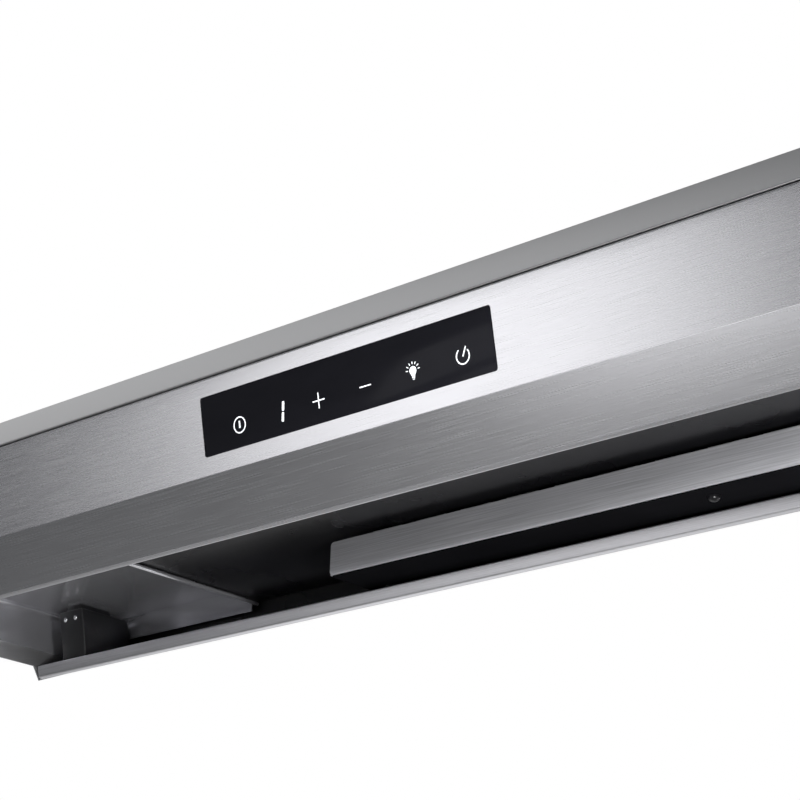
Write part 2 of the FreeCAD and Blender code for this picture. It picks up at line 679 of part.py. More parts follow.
# ---------------------------------------------------------------- air path
def blower():
    """The blower housing, its inlets, motor and mounting, and the spinning rotor."""
    axis_y, axis_z = FRONT + S.duct_run, -S.rotor_low
    half, outer, wall = S.scroll_half, S.scroll_outer, S.scroll_wall
    tray_half, tray_low = S.tray_half, -S.gauge - S.tray_deep
    mouth_radius = S.rotor_outer - S.mouth_trim
    drum = rod("scroll_drum", outer, 2 * half, (-half, axis_y, axis_z), "X")
    throat = block("scroll_throat", (-half, half), (axis_y - outer, axis_y + outer),
                   (axis_z, tray_low))
    drum_in = rod("scroll_drum_in", outer - wall, 2 * half - 2 * wall,
                  (-half + wall, axis_y, axis_z), "X")
    throat_in = block("scroll_throat_in", (-half + wall, half - wall),
                      (axis_y - outer + wall, axis_y + outer - wall), (axis_z, 1))
    above = block("scroll_above", (-half - 1, half + 1), (axis_y - outer - 1, axis_y + outer + 1),
                  (tray_low, 1))
    mouth = rod("scroll_mouths", mouth_radius, 2 * half + 10, (-half - 5, axis_y, axis_z), "X")
    scroll = cut("scroll", fuse("scroll_outside", drum, throat), drum_in, throat_in, above, mouth)
    node(scroll, "blower_housing")
    tray = block("tray_outside", (-half, half), (axis_y - tray_half, axis_y + tray_half),
                 (tray_low, -S.gauge))
    tray_in = block("tray_inside", (-half + wall, half - wall),
                    (axis_y - tray_half + wall, axis_y + tray_half - wall), (tray_low + wall, 1))
    tray_throat = block("tray_throat", (-half + wall, half - wall),
                        (axis_y - outer + wall, axis_y + outer - wall), (tray_low - 1, 1))
    tray_mouth = rod("tray_mouths", mouth_radius, 2 * half + 10, (-half - 5, axis_y, axis_z), "X")
    node(cut("tray", tray, tray_in, tray_throat, tray_mouth), "plenum_tray")
    for name, start in (("left", -half - S.mouth_ring), ("right", half)):
        ring = tube(f"mouth_ring_{name}", S.rotor_outer + 2, mouth_radius, S.mouth_ring,
                    (start, axis_y, axis_z), "X")
        node(ring, f"blower_inlet_{name}")

    motor = tube("motor_can", S.motor_radius, S.shaft_radius + 0.05, 2 * S.motor_half,
                 (-S.motor_half, axis_y, axis_z), "X")
    node(motor, "blower_motor")
    pedestal = block("pedestal", (-24, 24), (axis_y - 14, axis_y + 14),
                     (axis_z - outer + wall + 2.6, axis_z - 18))
    saddle = rod("saddle", S.motor_radius + 0.1, 60, (-30, axis_y, axis_z), "X")
    node(cut("motor_saddle", pedestal, saddle), "motor_bracket")
    node(rod("run_capacitor", S.capacitor_radius, 60, (-30, FRONT + 215, -20), "X"),
         "run_capacitor")
    rotor(axis_y, axis_z)


def rotor(axis_y, axis_z):
    """Shaft and two bladed wheels that turn as one."""
    reach = S.rotor_near + S.rotor_long
    shaft = rod("shaft", S.shaft_radius, 2 * reach, (-reach, axis_y, axis_z), "X")
    node(group("shaft_group", shaft), "motor_shaft")
    for name, hub_x, ring_x, start in (
            ("left", -S.rotor_near - S.wheel_disc, -reach, -reach),
            ("right", S.rotor_near, reach - S.wheel_disc, S.rotor_near)):
        hub = tube(f"hub_{name}", S.rotor_outer, S.shaft_radius, S.wheel_disc,
                   (hub_x, axis_y, axis_z), "X")
        rim = tube(f"rim_{name}", S.rotor_outer, S.rotor_outer - S.wheel_rim, S.wheel_disc,
                   (ring_x, axis_y, axis_z), "X")
        blades = []
        for index in range(BLADES):
            angle = 360.0 * index / BLADES
            blade = doc.addObject("Part::Box", "blade")
            bind(blade, "Length", S.rotor_long)
            bind(blade, "Width", S.blade_thick)
            bind(blade, "Height", S.blade_deep)
            reach_out = (S.rotor_outer - S.blade_deep - 0.3).number
            spin = FreeCAD.Rotation(V(1, 0, 0), angle)
            lean = FreeCAD.Rotation(V(1, 0, 0), angle + LEAN)
            arm = spin.multVec(V(0, 0, reach_out))
            place(blade, (start, axis_y + arm.y, axis_z + arm.z), lean)
            blades.append(blade)
        node(fuse(f"wheel_{name}", hub, rim, *blades), f"impeller_{name}")


def duct():
    """Collar with its flange, two pins across it and two half round flaps."""
    y = FRONT + S.duct_run
    inner = S.duct_outer - S.gauge
    collar = rod("collar_wall", S.duct_outer, S.duct_rise, (0, y, 0))
    flange = rod("collar_flange", S.duct_outer + S.flange_wide, S.flange_thick, (0, y, 0))
    bore = rod("collar_bore", inner, S.duct_rise + 2, (0, y, -1))
    node(cut("collar", fuse("collar_solid", collar, flange), bore), "duct_collar")
    pins = [rod("damper_pin", S.pin_radius, 2 * inner - 1.2,
                (sign * S.pin_offset, y - inner + 0.6, S.pin_rise), "Y") for sign in (-1, 1)]
    node(group("damper_pin_pair", *pins), "damper_pins")
    for name, sign in (("left", -1), ("right", 1)):
        pin_x = sign * S.pin_offset
        disc = rod(f"disc_{name}", inner - S.flap_gap, S.gauge, (0, y, S.pin_rise - S.gauge / 2))
        outer_half = [pin_x, sign * S.duct_outer]
        if sign < 0:
            outer_half.reverse()
        side = block(f"half_{name}", tuple(outer_half), (y - S.duct_outer, y + S.duct_outer),
                     (S.pin_rise - 2, S.pin_rise + 2))
        leaf = doc.addObject("Part::Common", f"leaf_{name}")
        leaf.Base = disc
        leaf.Tool = side
        barrel = rod(f"barrel_{name}", S.barrel_radius, 2 * inner - 6,
                     (pin_x, y - inner + 3, S.pin_rise), "Y")
        eye = rod(f"eye_{name}", S.pin_radius + S.pin_play, 2 * inner,
                  (pin_x, y - inner, S.pin_rise), "Y")
        node(cut(f"flap_{name}", fuse(f"flap_solid_{name}", leaf, barrel), eye),
             f"damper_flap_{name}")


# ---------------------------------------------------------------- controls and wiring
def controls():
    """Touch glass with its symbols, the board behind it and their housing."""
    face = FRONT + S.glass_sink
    half, top, low = S.glass_half, -S.glass_top, -S.glass_low
    glass = block("glass_block", (-half, half), (face, face + S.glass_thick), (low, top))
    round_off = doc.addObject("Part::Fillet", "glass_rounded")
    round_off.Base = glass
    doc.recompute()
    corners = [index for index, edge in enumerate(glass.Shape.Edges, 1)
               if abs(edge.tangentAt(edge.FirstParameter).y) > 0.9]
    radius = S.glass_corner.number
    round_off.Edges = [(index, radius, radius) for index in corners]
    node(round_off, "touch_glass")
    symbols(face, (top + low) / 2 - 5)
    housing = block("housing_outside", (-half - 3, half + 3), (face + 3.2, face + 22),
                    (low - 3, top + 3))
    room = block("housing_inside", (-half + 1, half - 1), (face + 2, face + 20), (low + 1, top - 1))
    node(cut("housing_shell", housing, room), "control_housing")
    node(block("board", (-half + 3, half - 3), (face + 5, face + 6.6), (low + 3, top - 3)),
         "control_board")


def symbols(face, middle):
    """The lit symbols, thin raised inlays on the glass: generic shapes only."""
    near = face - S.inlay

    def bar(x, z, wide, tall, turn=0.0):
        """A small rectangle centred at (x, z), turned clockwise by degrees."""
        piece = doc.addObject("Part::Box", "bar")
        piece.Length, piece.Height = wide, tall
        bind(piece, "Width", S.inlay)
        spin = FreeCAD.Rotation(V(0, 1, 0), turn)
        corner = spin.multVec(V(-wide / 2, 0, -tall / 2))
        return place(piece, (x + corner.x, near, middle + z + corner.z), spin)

    def ring(x, z, outer, inner, gap=None):
        """A ring centred at (x, z), with an optional gap bar taken out of it."""
        hoop = tube("hoop", outer, inner, S.inlay, (x, near, middle + z), "Y")
        return cut("open_hoop", hoop, gap) if gap else hoop

    power_x, plus_x, minus_x, lamp_x, timer_x = -82.6, -17.8, 18.6, 54.5, 90.5
    power_gap = block("power_gap", (power_x - 1.3, power_x + 1.3), (near - 1, near + 1),
                      (middle + 2, middle + 8))
    shapes = [ring(power_x, 0, 5.2, 4.2, power_gap), bar(power_x, 4.0, 0.9, 4.6)]
    shapes.append(fuse("plus_sign", bar(plus_x, 0, 9.6, 1.1), bar(plus_x, 0, 1.1, 9.6)))
    shapes.append(bar(minus_x, 0, 8.6, 1.1))
    shapes.append(fuse("bulb", ring(lamp_x, 0.6, 2.5, 1.9), bar(lamp_x, -2.6, 2.0, 1.2)))
    for step in range(-3, 4):
        angle = step * 33.0
        reach = 4.4
        x = lamp_x + reach * math.sin(math.radians(angle))
        z = 0.6 + reach * math.cos(math.radians(angle))
        shapes.append(bar(x, z, 0.6, 1.8, angle))
    timer_gap = block("timer_gap", (timer_x + 0.2, timer_x + 3.4), (near - 1, near + 1),
                      (middle + 2, middle + 8))
    shapes.append(ring(timer_x, 0, 5.0, 4.2, timer_gap))
    shapes.append(bar(timer_x + 0.9, 1.6, 0.8, 5.0, 24))
    node(group("symbol_group", *shapes), "touch_symbols")
    digit_x = -46.6
    digit = [bar(digit_x + 0.5, 3.2, 1.3, 5.4, 6), bar(digit_x - 0.2, -2.9, 1.3, 5.4, 6)]
    node(group("digit_group", *digit), "display_digit")


def wiring():
    """Junction box with its cover, and the bushing where the supply lead enters."""
    wall, low = S.box_wall, -S.box_low
    x = (-S.box_outer, S.box_long - S.box_outer)
    y = (FRONT + S.box_run, FRONT + S.box_run + S.box_deep)
    shell = block("junction_outside", x, y, (low, -S.gauge))
    room = block("junction_room", (x[0] + wall, x[1] - wall), (y[0] + wall, y[1] - wall),
                 (low - 1, 0))
    node(cut("junction", shell, room), "junction_box")
    lid = block("junction_lid", (x[0] - 1, x[1] + 1), (y[0] - 1, y[1] + 1),
                (low - 0.2 - wall, low - 0.2))
    node(lid, "junction_cover")
    at = (-S.inlet_across, FRONT + S.inlet_run)
    stem = rod("bushing_stem", S.inlet_hole - 0.1, 9, (at[0], at[1], -7))
    head = rod("bushing_head", S.inlet_hole + 3, 2, (at[0], at[1], 0))
    bore = rod("bushing_bore", 5, 12, (at[0], at[1], -8))
    node(cut("bushing", fuse("bushing_solid", stem, head), bore), "cable_bushing")


# ---------------------------------------------------------------- build, check, write
def check_and_write():
    """Stop on any failed object, then write one STEP file for each piece."""
    doc.recompute()
    for obj in doc.Objects:
        if "Invalid" in obj.State or "Error" in obj.State:
            raise RuntimeError(f"{obj.Name} failed: {obj.State}")
    for name, obj in nodes.items():
        if obj.Shape.isNull() or not obj.Shape.isValid() or obj.Shape.Volume < 0.1:
            raise RuntimeError(f"{name} has no valid shape")
    os.makedirs("parts", exist_ok=True)
    for name, obj in nodes.items():
        obj.Shape.exportStep(f"parts/{name}.step")
        print(f"{name}: {len(obj.Shape.Solids)} solid(s), {obj.Shape.Volume / 1000:.1f} cm3")
    print(len(nodes), "pieces")


outer_body()
side_screws()
rim_group()
rails()
filters()
grease_trough()
blower()
duct()
controls()
wiring()
check_and_write()
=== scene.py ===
"""Looks of the under cabinet range hood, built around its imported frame.

Every length is in metres.  Y runs from the fascia to the wall, X along the hood and Z up.
The front underside slopes, so its pieces are drawn on the rim plane's own axes, which start at
the lip: "along" runs down the slope towards the wall and "rise" stands square to it.
"""
import json
import logging
import math
from dataclasses import dataclass
from enum import Enum
from typing import Iterable, Sequence

import bmesh
import bpy
from mathutils import Matrix, Vector


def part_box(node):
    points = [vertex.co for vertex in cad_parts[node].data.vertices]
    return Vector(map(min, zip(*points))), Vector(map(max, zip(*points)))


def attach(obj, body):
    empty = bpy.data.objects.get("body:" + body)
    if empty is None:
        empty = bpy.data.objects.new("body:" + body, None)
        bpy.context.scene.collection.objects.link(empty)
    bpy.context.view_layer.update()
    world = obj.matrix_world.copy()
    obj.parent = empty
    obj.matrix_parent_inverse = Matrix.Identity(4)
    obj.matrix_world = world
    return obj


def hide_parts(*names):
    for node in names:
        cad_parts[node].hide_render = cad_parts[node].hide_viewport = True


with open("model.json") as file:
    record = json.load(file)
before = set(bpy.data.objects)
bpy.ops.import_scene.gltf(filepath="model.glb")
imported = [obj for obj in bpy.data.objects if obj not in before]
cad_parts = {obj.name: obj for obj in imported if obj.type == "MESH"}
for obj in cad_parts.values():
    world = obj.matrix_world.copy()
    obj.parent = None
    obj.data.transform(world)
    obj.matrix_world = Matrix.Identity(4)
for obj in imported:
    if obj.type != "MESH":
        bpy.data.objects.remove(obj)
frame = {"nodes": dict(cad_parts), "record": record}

LOG = logging.getLogger("range_hood")
MM = 0.001
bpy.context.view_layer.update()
Point2 = tuple[float, float]


class Grain(Enum):
    """The direction of a brushed finish: how the streak pattern is stretched."""

    ALONG_X = (22.0, 1900.0, 1900.0)
    ALONG_Y = (1900.0, 22.0, 1900.0)


# ------------------------------------------------------------------------- shading
class Shader:
    """A material's node tree under construction."""

    def __init__(self, name: str) -> None:
        """Start a material with one Principled shader.

        Args:
            name: the material's name.
        """
        self.material = bpy.data.materials.new(name)
        self.material.use_nodes = True
        self.tree = self.material.node_tree
        self.surface = self.tree.nodes["Principled BSDF"]

    def set(self, **values: object) -> "Shader":
        """Set constant inputs of the Principled shader.

        Args:
            values: input names with underscores for spaces.

        Returns:
            The shader itself.
        """
        for name, value in values.items():
            self.surface.inputs[name.replace("_", " ")].default_value = value
        return self

    def node(self, kind: str, **settings: object) -> bpy.types.Node:
        """Add a node.

        Args:
            kind: the node's type, without the ShaderNode prefix.
            settings: its properties.

        Returns:
            The new node.
        """
        made = self.tree.nodes.new(f"ShaderNode{kind}")
        for name, value in settings.items():
            setattr(made, name, value)
        return made

    def link(self, source: object, target: object) -> None:
        """Join two sockets."""
        self.tree.links.new(source, target)

    def noise(self, scale: Sequence[float], detail: float = 2.0) -> object:
        """A noise pattern on Object coordinates.

        Args:
            scale: the pattern's frequency along X, Y and Z, per metre.
            detail: octaves of finer noise.

        Returns:
            The noise value's socket.
        """
        place = self.node("TexCoord")
        mapping = self.node("Mapping")
        mapping.inputs["Scale"].default_value = scale
        self.link(place.outputs["Object"], mapping.inputs["Vector"])
        texture = self.node("TexNoise")
        texture.inputs["Scale"].default_value = 1.0
        texture.inputs["Detail"].default_value = detail
        self.link(mapping.outputs["Vector"], texture.inputs["Vector"])
        return texture.outputs["Fac"]

    def spread(self, value: object, low: float, high: float) -> object:
        """Map a 0 to 1 value onto a range.

        Args:
            value: the socket to map.
            low: the result at 0.25.
            high: the result at 0.75.

        Returns:
            The mapped value's socket.
        """
        made = self.node("MapRange")
        made.inputs["From Min"].default_value = 0.25
        made.inputs["From Max"].default_value = 0.75
        made.inputs["To Min"].default_value = low
        made.inputs["To Max"].default_value = high
        self.link(value, made.inputs["Value"])
        return made.outputs["Result"]

    def blend(self, value: object, low: Sequence[float], high: Sequence[float]) -> object:
        """Mix two colours.

        Args:
            value: the mixing socket.
            low: the colour at 0.3.
            high: the colour at 0.7.

        Returns:
            The colour's socket.
        """
        ramp = self.node("ValToRGB")
        ramp.color_ramp.elements[0].position = 0.3
        ramp.color_ramp.elements[1].position = 0.7
        ramp.color_ramp.elements[0].color = (*low, 1.0)
        ramp.color_ramp.elements[1].color = (*high, 1.0)
        self.link(value, ramp.inputs["Fac"])
        return ramp.outputs["Color"]

    def bump(self, value: object, distance: float) -> None:
        """Drive the surface's normal by a height.

        Args:
            value: the height's socket.
            distance: the height in metres.
        """
        made = self.node("Bump")
        made.inputs["Strength"].default_value = 1.0
        made.inputs["Distance"].default_value = distance
        self.link(value, made.inputs["Height"])
        self.link(made.outputs["Normal"], self.surface.inputs["Normal"])


def shade(colour: Sequence[float], factor: float) -> tuple[float, float, float]:
    """A colour made lighter or darker by a factor."""
    return tuple(min(1.0, channel * factor) for channel in colour)


@dataclass(frozen=True)
class BrushedSteel:
    """Stainless sheet with a directional grain."""

    name: str
    tint: tuple[float, float, float]
    roughness: float = 0.3
    grain: Grain = Grain.ALONG_X
    contrast: float = 0.06
    depth: float = 0.000012
    metal: float = 1.0

    def build(self) -> bpy.types.Material:
        """Make the material: streaks in colour, roughness and height, with a faint smudge."""
        shader = Shader(self.name).set(Metallic=self.metal)
        streaks = shader.noise(self.grain.value, detail=3.0)
        smudge = shader.noise((5.0, 9.0, 9.0), detail=4.0)
        mixed = shader.node("Mix", data_type="FLOAT")
        mixed.inputs["Factor"].default_value = 0.25
        shader.link(streaks, mixed.inputs["A"])
        shader.link(smudge, mixed.inputs["B"])
        value = mixed.outputs["Result"]
        colour = shader.blend(value, shade(self.tint, 1 - self.contrast),
                              shade(self.tint, 1 + self.contrast))
        shader.link(colour, shader.surface.inputs["Base Color"])
        rough = shader.spread(value, self.roughness - 0.04, self.roughness + 0.06)
        shader.link(rough, shader.surface.inputs["Roughness"])
        shader.bump(streaks, self.depth)
        return shader.material


@dataclass(frozen=True)
class Enamel:
    """Gloss paint or enamel with a little orange peel."""

    name: str
    tint: tuple[float, float, float]
    roughness: float = 0.18
    peel: float = 0.00002
    shine: float = 0.3

    def build(self) -> bpy.types.Material:
        """Make the material."""
        shader = Shader(self.name).set(Specular_IOR_Level=self.shine)
        peel = shader.noise((260.0, 260.0, 260.0), detail=1.0)
        cloud = shader.noise((14.0, 14.0, 14.0), detail=3.0)
        shader.link(shader.blend(cloud, shade(self.tint, 0.85), shade(self.tint, 1.2)),
                    shader.surface.inputs["Base Color"])
        shader.link(shader.spread(cloud, self.roughness - 0.03, self.roughness + 0.06),
                    shader.surface.inputs["Roughness"])
        shader.bump(peel, self.peel)
        return shader.material


@dataclass(frozen=True)
class Moulding:
    """Injection moulded plastic with a fine spark grain."""

    name: str
    tint: tuple[float, float, float]
    roughness: float = 0.5
    grain: float = 0.00003

    def build(self) -> bpy.types.Material:
        """Make the material."""
        shader = Shader(self.name).set(Specular_IOR_Level=0.45)
        fine = shader.noise((1400.0, 1400.0, 1400.0), detail=2.0)
        cloud = shader.noise((30.0, 30.0, 30.0), detail=2.0)
        shader.link(shader.blend(cloud, shade(self.tint, 0.85), shade(self.tint, 1.15)),
                    shader.surface.inputs["Base Color"])
        shader.link(shader.spread(fine, self.roughness - 0.06, self.roughness + 0.08),
                    shader.surface.inputs["Roughness"])
        shader.bump(fine, self.grain)
        return shader.material


@dataclass(frozen=True)
class ZincSheet:
    """Zinc coated sheet with its crystal spangle."""

    name: str
    tint: tuple[float, float, float]
    roughness: float = 0.42

    def build(self) -> bpy.types.Material:
        """Make the material: Voronoi crystals in colour and roughness."""
        shader = Shader(self.name).set(Metallic=1.0)
        place = shader.node("TexCoord")
        crystals = shader.node("TexVoronoi")
        crystals.inputs["Scale"].default_value = 420.0
        shader.link(place.outputs["Object"], crystals.inputs["Vector"])
        split = shader.node("SeparateColor")
        shader.link(crystals.outputs["Color"], split.inputs["Color"])
        value = split.outputs["Red"]
        shader.link(shader.blend(value, shade(self.tint, 0.97), shade(self.tint, 1.03)),
                    shader.surface.inputs["Base Color"])
        shader.link(shader.spread(value, self.roughness - 0.03, self.roughness + 0.03),
                    shader.surface.inputs["Roughness"])
        shader.bump(shader.noise((420.0, 420.0, 420.0)), 0.00002)
        return shader.material


@dataclass(frozen=True)
class PolishedGlass:
    """Opaque black glass, or frosted lamp glass when it lets light through."""

    name: str
    tint: tuple[float, float, float]
    roughness: float
    clear: float = 0.0
    gloss: float = 0.5

    def build(self) -> bpy.types.Material:
        """Make the material, with a trace of smear in its gloss."""
        shader = Shader(self.name).set(IOR=1.5, Transmission_Weight=self.clear,
                                       Specular_IOR_Level=self.gloss)
        smear = shader.noise((18.0, 40.0, 60.0), detail=4.0)
        shader.link(shader.blend(smear, shade(self.tint, 0.9), shade(self.tint, 1.1)),
                    shader.surface.inputs["Base Color"])
        shader.link(shader.spread(smear, self.roughness * 0.8, self.roughness * 1.3),
                    shader.surface.inputs["Roughness"])
        return shader.material


@dataclass(frozen=True)
class LitSymbol:
    """White symbols lit from behind the glass."""

    name: str
    tint: tuple[float, float, float]
    power: float

    def build(self) -> bpy.types.Material:
        """Make the material, a little uneven as a lit mask is."""
        shader = Shader(self.name).set(Roughness=0.35, Emission_Strength=self.power)
        uneven = shader.noise((120.0, 120.0, 120.0), detail=1.0)
        colour = shader.blend(uneven, shade(self.tint, 0.94), self.tint)
        shader.link(colour, shader.surface.inputs["Base Color"])
        shader.link(colour, shader.surface.inputs["Emission Color"])
        return shader.material


@dataclass(frozen=True)
class BareMetal:
    """Turned, cast or plated metal with no grain direction."""

    name: str
    tint: tuple[float, float, float]
    roughness: float
    texture: float = 0.00001

    def build(self) -> bpy.types.Material:
        """Make the material."""
        shader = Shader(self.name).set(Metallic=1.0)
        grain = shader.noise((500.0, 500.0, 500.0), detail=3.0)
        cloud = shader.noise((40.0, 40.0, 40.0), detail=3.0)
        shader.link(shader.blend(cloud, shade(self.tint, 0.9), shade(self.tint, 1.08)),
                    shader.surface.inputs["Base Color"])
        shader.link(shader.spread(grain, self.roughness - 0.05, self.roughness + 0.08),
                    shader.surface.inputs["Roughness"])
        shader.bump(grain, self.texture)
        return shader.material


class Slot(Enum):
    """The record's material slots, each with the finish that it shows."""

    FASCIA = ("fascia_steel", BrushedSteel("fascia_steel", (0.69, 0.685, 0.715), 0.25,
                                            contrast=0.06, depth=0.00001))
    BODY = ("body_steel", BrushedSteel("body_steel", (0.55, 0.55, 0.56), 0.36, Grain.ALONG_Y,
                                       metal=0.85))
    PAN = ("pan_steel", BrushedSteel("pan_steel", (0.54, 0.54, 0.57), 0.18, contrast=0.03,
                                     depth=0.000003, metal=0.72))
    PLATE = ("plate_steel", BrushedSteel("plate_steel", (0.64, 0.64, 0.67), 0.5,
                                         contrast=0.2, depth=0.0001, metal=0.7))
    TROUGH = ("trough_steel", BrushedSteel("trough_steel", (0.69, 0.685, 0.715), 0.3,
                                           contrast=0.12, depth=0.00002))
    FILTER = ("filter_steel", BrushedSteel("filter_steel", (0.58, 0.58, 0.58), 0.33,
                                           Grain.ALONG_Y))
    ZINC = ("zinc_sheet", ZincSheet("zinc_sheet", (0.6, 0.61, 0.62)))
    # Near-black enamel for the liner; on the plate's screws and studs and on the cross rail the
    # same near-black is painted shade, for the dark deep under the hood.
    ENAMEL = ("dark_enamel", Enamel("dark_enamel", (0.006, 0.006, 0.007), 0.26))
    # Matt near-black with no shine for the plate's underlay: partly the sheet's own dark colour,
    # partly painted shade for the deep slot between the plate and the trough.
    UNDERLAY = ("dark_enamel", Enamel("matt_enamel", (0.006, 0.006, 0.007), 0.86, shine=0.0))
    GLASS = ("black_glass", PolishedGlass("black_glass", (0.018, 0.018, 0.023), 0.12,
                                          gloss=0.05))
    SYMBOL = ("symbol_white", LitSymbol("symbol_white", (0.95, 0.97, 1.0), 0.9))
    MOULDED = ("black_moulded", Moulding("black_moulded", (0.006, 0.006, 0.007), 0.42))
    SCREW = ("bright_screw", BareMetal("bright_screw", (0.7, 0.7, 0.71), 0.22))
    LAMP = ("lamp_glass", PolishedGlass("lamp_glass", (0.86, 0.88, 0.9), 0.35, 0.35))
    CASTING = ("lamp_casting", BareMetal("lamp_casting", (0.55, 0.55, 0.55), 0.5, 0.00004))
    MOTOR = ("motor_paint", Enamel("motor_paint", (0.05, 0.05, 0.055), 0.4, 0.00004))
    BOARD = ("board_green", Moulding("board_green", (0.02, 0.13, 0.05), 0.35))

    @property
    def slot(self) -> str:
        """The slot's name in the record."""
        return self.value[0]

    def material(self) -> bpy.types.Material:
        """The slot's material, made once."""
        return bpy.data.materials.get(self.value[1].name + ".look") or self._make()

    def _make(self) -> bpy.types.Material:
        """Build the material and name it so that it is found again.

        Returns:
            The material.
        """
        made = self.value[1].build()
        made.name = self.value[1].name + ".look"
        return made


# ------------------------------------------------------------------------- mesh helpers
def new_object(name: str, mesh: bpy.types.Mesh) -> bpy.types.Object:
    """Link a new object that shows a mesh.

    Args:
        name: the object's name.
        mesh: the mesh that it shows.

    Returns:
        The object.
    """
    made = bpy.data.objects.new(name, mesh)
    bpy.context.scene.collection.objects.link(made)
    return made


def mesh_of(name: str, shape: bmesh.types.BMesh) -> bpy.types.Mesh:
    """Close a bmesh into a mesh with outward faces.

    Args:
        name: the mesh's name.
        shape: the bmesh, which is freed.

    Returns:
        The mesh, merged and with its normals recalculated.
    """
    bmesh.ops.remove_doubles(shape, verts=shape.verts, dist=1e-6)
    bmesh.ops.recalc_face_normals(shape, faces=shape.faces)
    mesh = bpy.data.meshes.new(name)
    shape.to_mesh(mesh)
    shape.free()
    return mesh


def baked(source: bpy.types.Object) -> bpy.types.Object:
    """Apply an object's modifiers to its mesh and remove them.

    Args:
        source: the object.

    Returns:
        The same object, with a plain mesh.
    """
    graph = bpy.context.evaluated_depsgraph_get()
    mesh = bpy.data.meshes.new_from_object(source.evaluated_get(graph))
    source.modifiers.clear()
    source.data = mesh
    return source


def rounded(source: bpy.types.Object, width: float, segments: int = 2,
            angle: float = 35.0) -> bpy.types.Object:
    """Round an object's sharp edges.

    Args:
        source: the object.
        width: the bevel's width.
        segments: the bevel's segments.
        angle: edges sharper than this, in degrees, are rounded.

    Returns:
        The same object, with its mesh changed.
    """
    bevel = source.modifiers.new("edges", "BEVEL")
    bevel.width = width
    bevel.segments = segments
    bevel.limit_method = "ANGLE"
    bevel.angle_limit = math.radians(angle)
    bevel.harden_normals = False
    return baked(source)


def smooth(source: bpy.types.Object, angle: float = 32.0) -> bpy.types.Object:
    """Shade an object smooth, keeping edges sharper than an angle crisp.

    Args:
        source: the object.
        angle: edges sharper than this, in degrees, stay sharp.

    Returns:
        The same object.
    """
    mesh = source.data
    mesh.polygons.foreach_set("use_smooth", [True] * len(mesh.polygons))
    mesh.set_sharp_from_angle(angle=math.radians(angle))
    return source


def carve(source: bpy.types.Object, cutters: Iterable[bpy.types.Object]) -> bpy.types.Object:
    """Cut closed shapes out of an object and delete the cutters.

    Args:
        source: the object to cut.
        cutters: what is taken away; they are deleted.

    Returns:
        The same object, cut.
    """
    for cutter in cutters:
        step = source.modifiers.new("hole", "BOOLEAN")
        step.operation = "DIFFERENCE"
        step.solver = "EXACT"
        step.object = cutter
        baked(source)
        bpy.data.objects.remove(cutter)
    return source


def joined(name: str, parts: Sequence[bpy.types.Object]) -> bpy.types.Object:
    """Join several objects into one mesh.

    Args:
        name: the new object's name.
        parts: objects with no modifiers; they are deleted.

    Returns:
        The joined object.
    """
    shape = bmesh.new()
    for part in parts:
        shape.from_mesh(part.data)
        bpy.data.objects.remove(part)
    mesh = bpy.data.meshes.new(name)
    shape.to_mesh(mesh)
    shape.free()
    return new_object(name, mesh)


def fillet(corners: Sequence[tuple[float, float, float]], steps: int = 5) -> list[Point2]:
    """Round the corners of an open path.

    Args:
        corners: (a, b, radius) for each corner; the ends keep their place.
        steps: segments in each bend.

    Returns:
        The path's points.
    """
    path: list[Point2] = [corners[0][:2]]
    for before, (a, b, radius), after in zip(corners, corners[1:-1], corners[2:]):
        centre = Vector((a, b))
        back = (Vector(before[:2]) - centre)
        ahead = (Vector(after[:2]) - centre)
        bend = back.angle(ahead)
        trim = min(radius / math.tan(bend / 2), 0.49 * min(back.length, ahead.length))
        if radius <= 0:
            path.append((a, b))
            continue
        start, end = centre + back.normalized() * trim, centre + ahead.normalized() * trim
        for step in range(steps + 1):
            share = step / steps
            # A quadratic through the tangent points follows a sheet's bend closely.
            point = start.lerp(centre, share).lerp(centre.lerp(end, share), share)
            path.append((point.x, point.y))
    path.append(corners[-1][:2])
    return path


def thickened(path: Sequence[Point2], gauge: float) -> list[Point2]:
    """A sheet's closed outline: the path, and the same path a gauge to its left.

    Args:
        path: the line of one face of the sheet.
        gauge: its thickness, to one side.

    Returns:
        The closed outline.
    """
    inner: list[Point2] = []
    points = [Vector(point) for point in path]
    for index, point in enumerate(points):
        before = point - points[index - 1] if index else points[1] - point
        after = points[index + 1] - point if index + 1 < len(points) else before
        normals = [Vector((-way.y, way.x)).normalized() for way in (before, after)]
        mitre = (normals[0] + normals[1]) / (1 + normals[0].dot(normals[1]))
        inner.append(tuple(point + mitre * gauge))
    return list(path) + inner[::-1]


def prism(name: str, outline: Sequence[Point2], low: float, high: float,
          axis: str = "X") -> bpy.types.Object:
    """Push a closed outline along an axis.

    Args:
        name: the object's name.
        outline: points in the plane square to the axis: (y, z), (x, z) or (x, y).
        low: where the prism starts.
        high: where it ends.
        axis: "X", "Y" or "Z".

    Returns:
        The prism as an object.
    """
    def corner(a: float, b: float, depth: float) -> Vector:
        """A point of the prism."""
        return Vector({"X": (depth, a, b), "Y": (a, depth, b), "Z": (a, b, depth)}[axis])

    shape = bmesh.new()
    loops = [[shape.verts.new(corner(a, b, depth)) for a, b in outline] for depth in (low, high)]
    shape.faces.new(loops[0][::-1])
    shape.faces.new(loops[1])
    count = len(outline)
    for index in range(count):
        following = (index + 1) % count
        shape.faces.new((loops[0][index], loops[0][following],
                         loops[1][following], loops[1][index]))
    mesh = mesh_of(name, shape)
    return new_object(name, mesh)


def slab(name: str, low: Sequence[float], high: Sequence[float]) -> bpy.types.Object:
    """A box between two corners, as a base for carving or rounding."""
    outline = [(low[0], low[1]), (high[0], low[1]), (high[0], high[1]), (low[0], high[1])]
    return prism(name, outline, low[2], high[2], "Z")


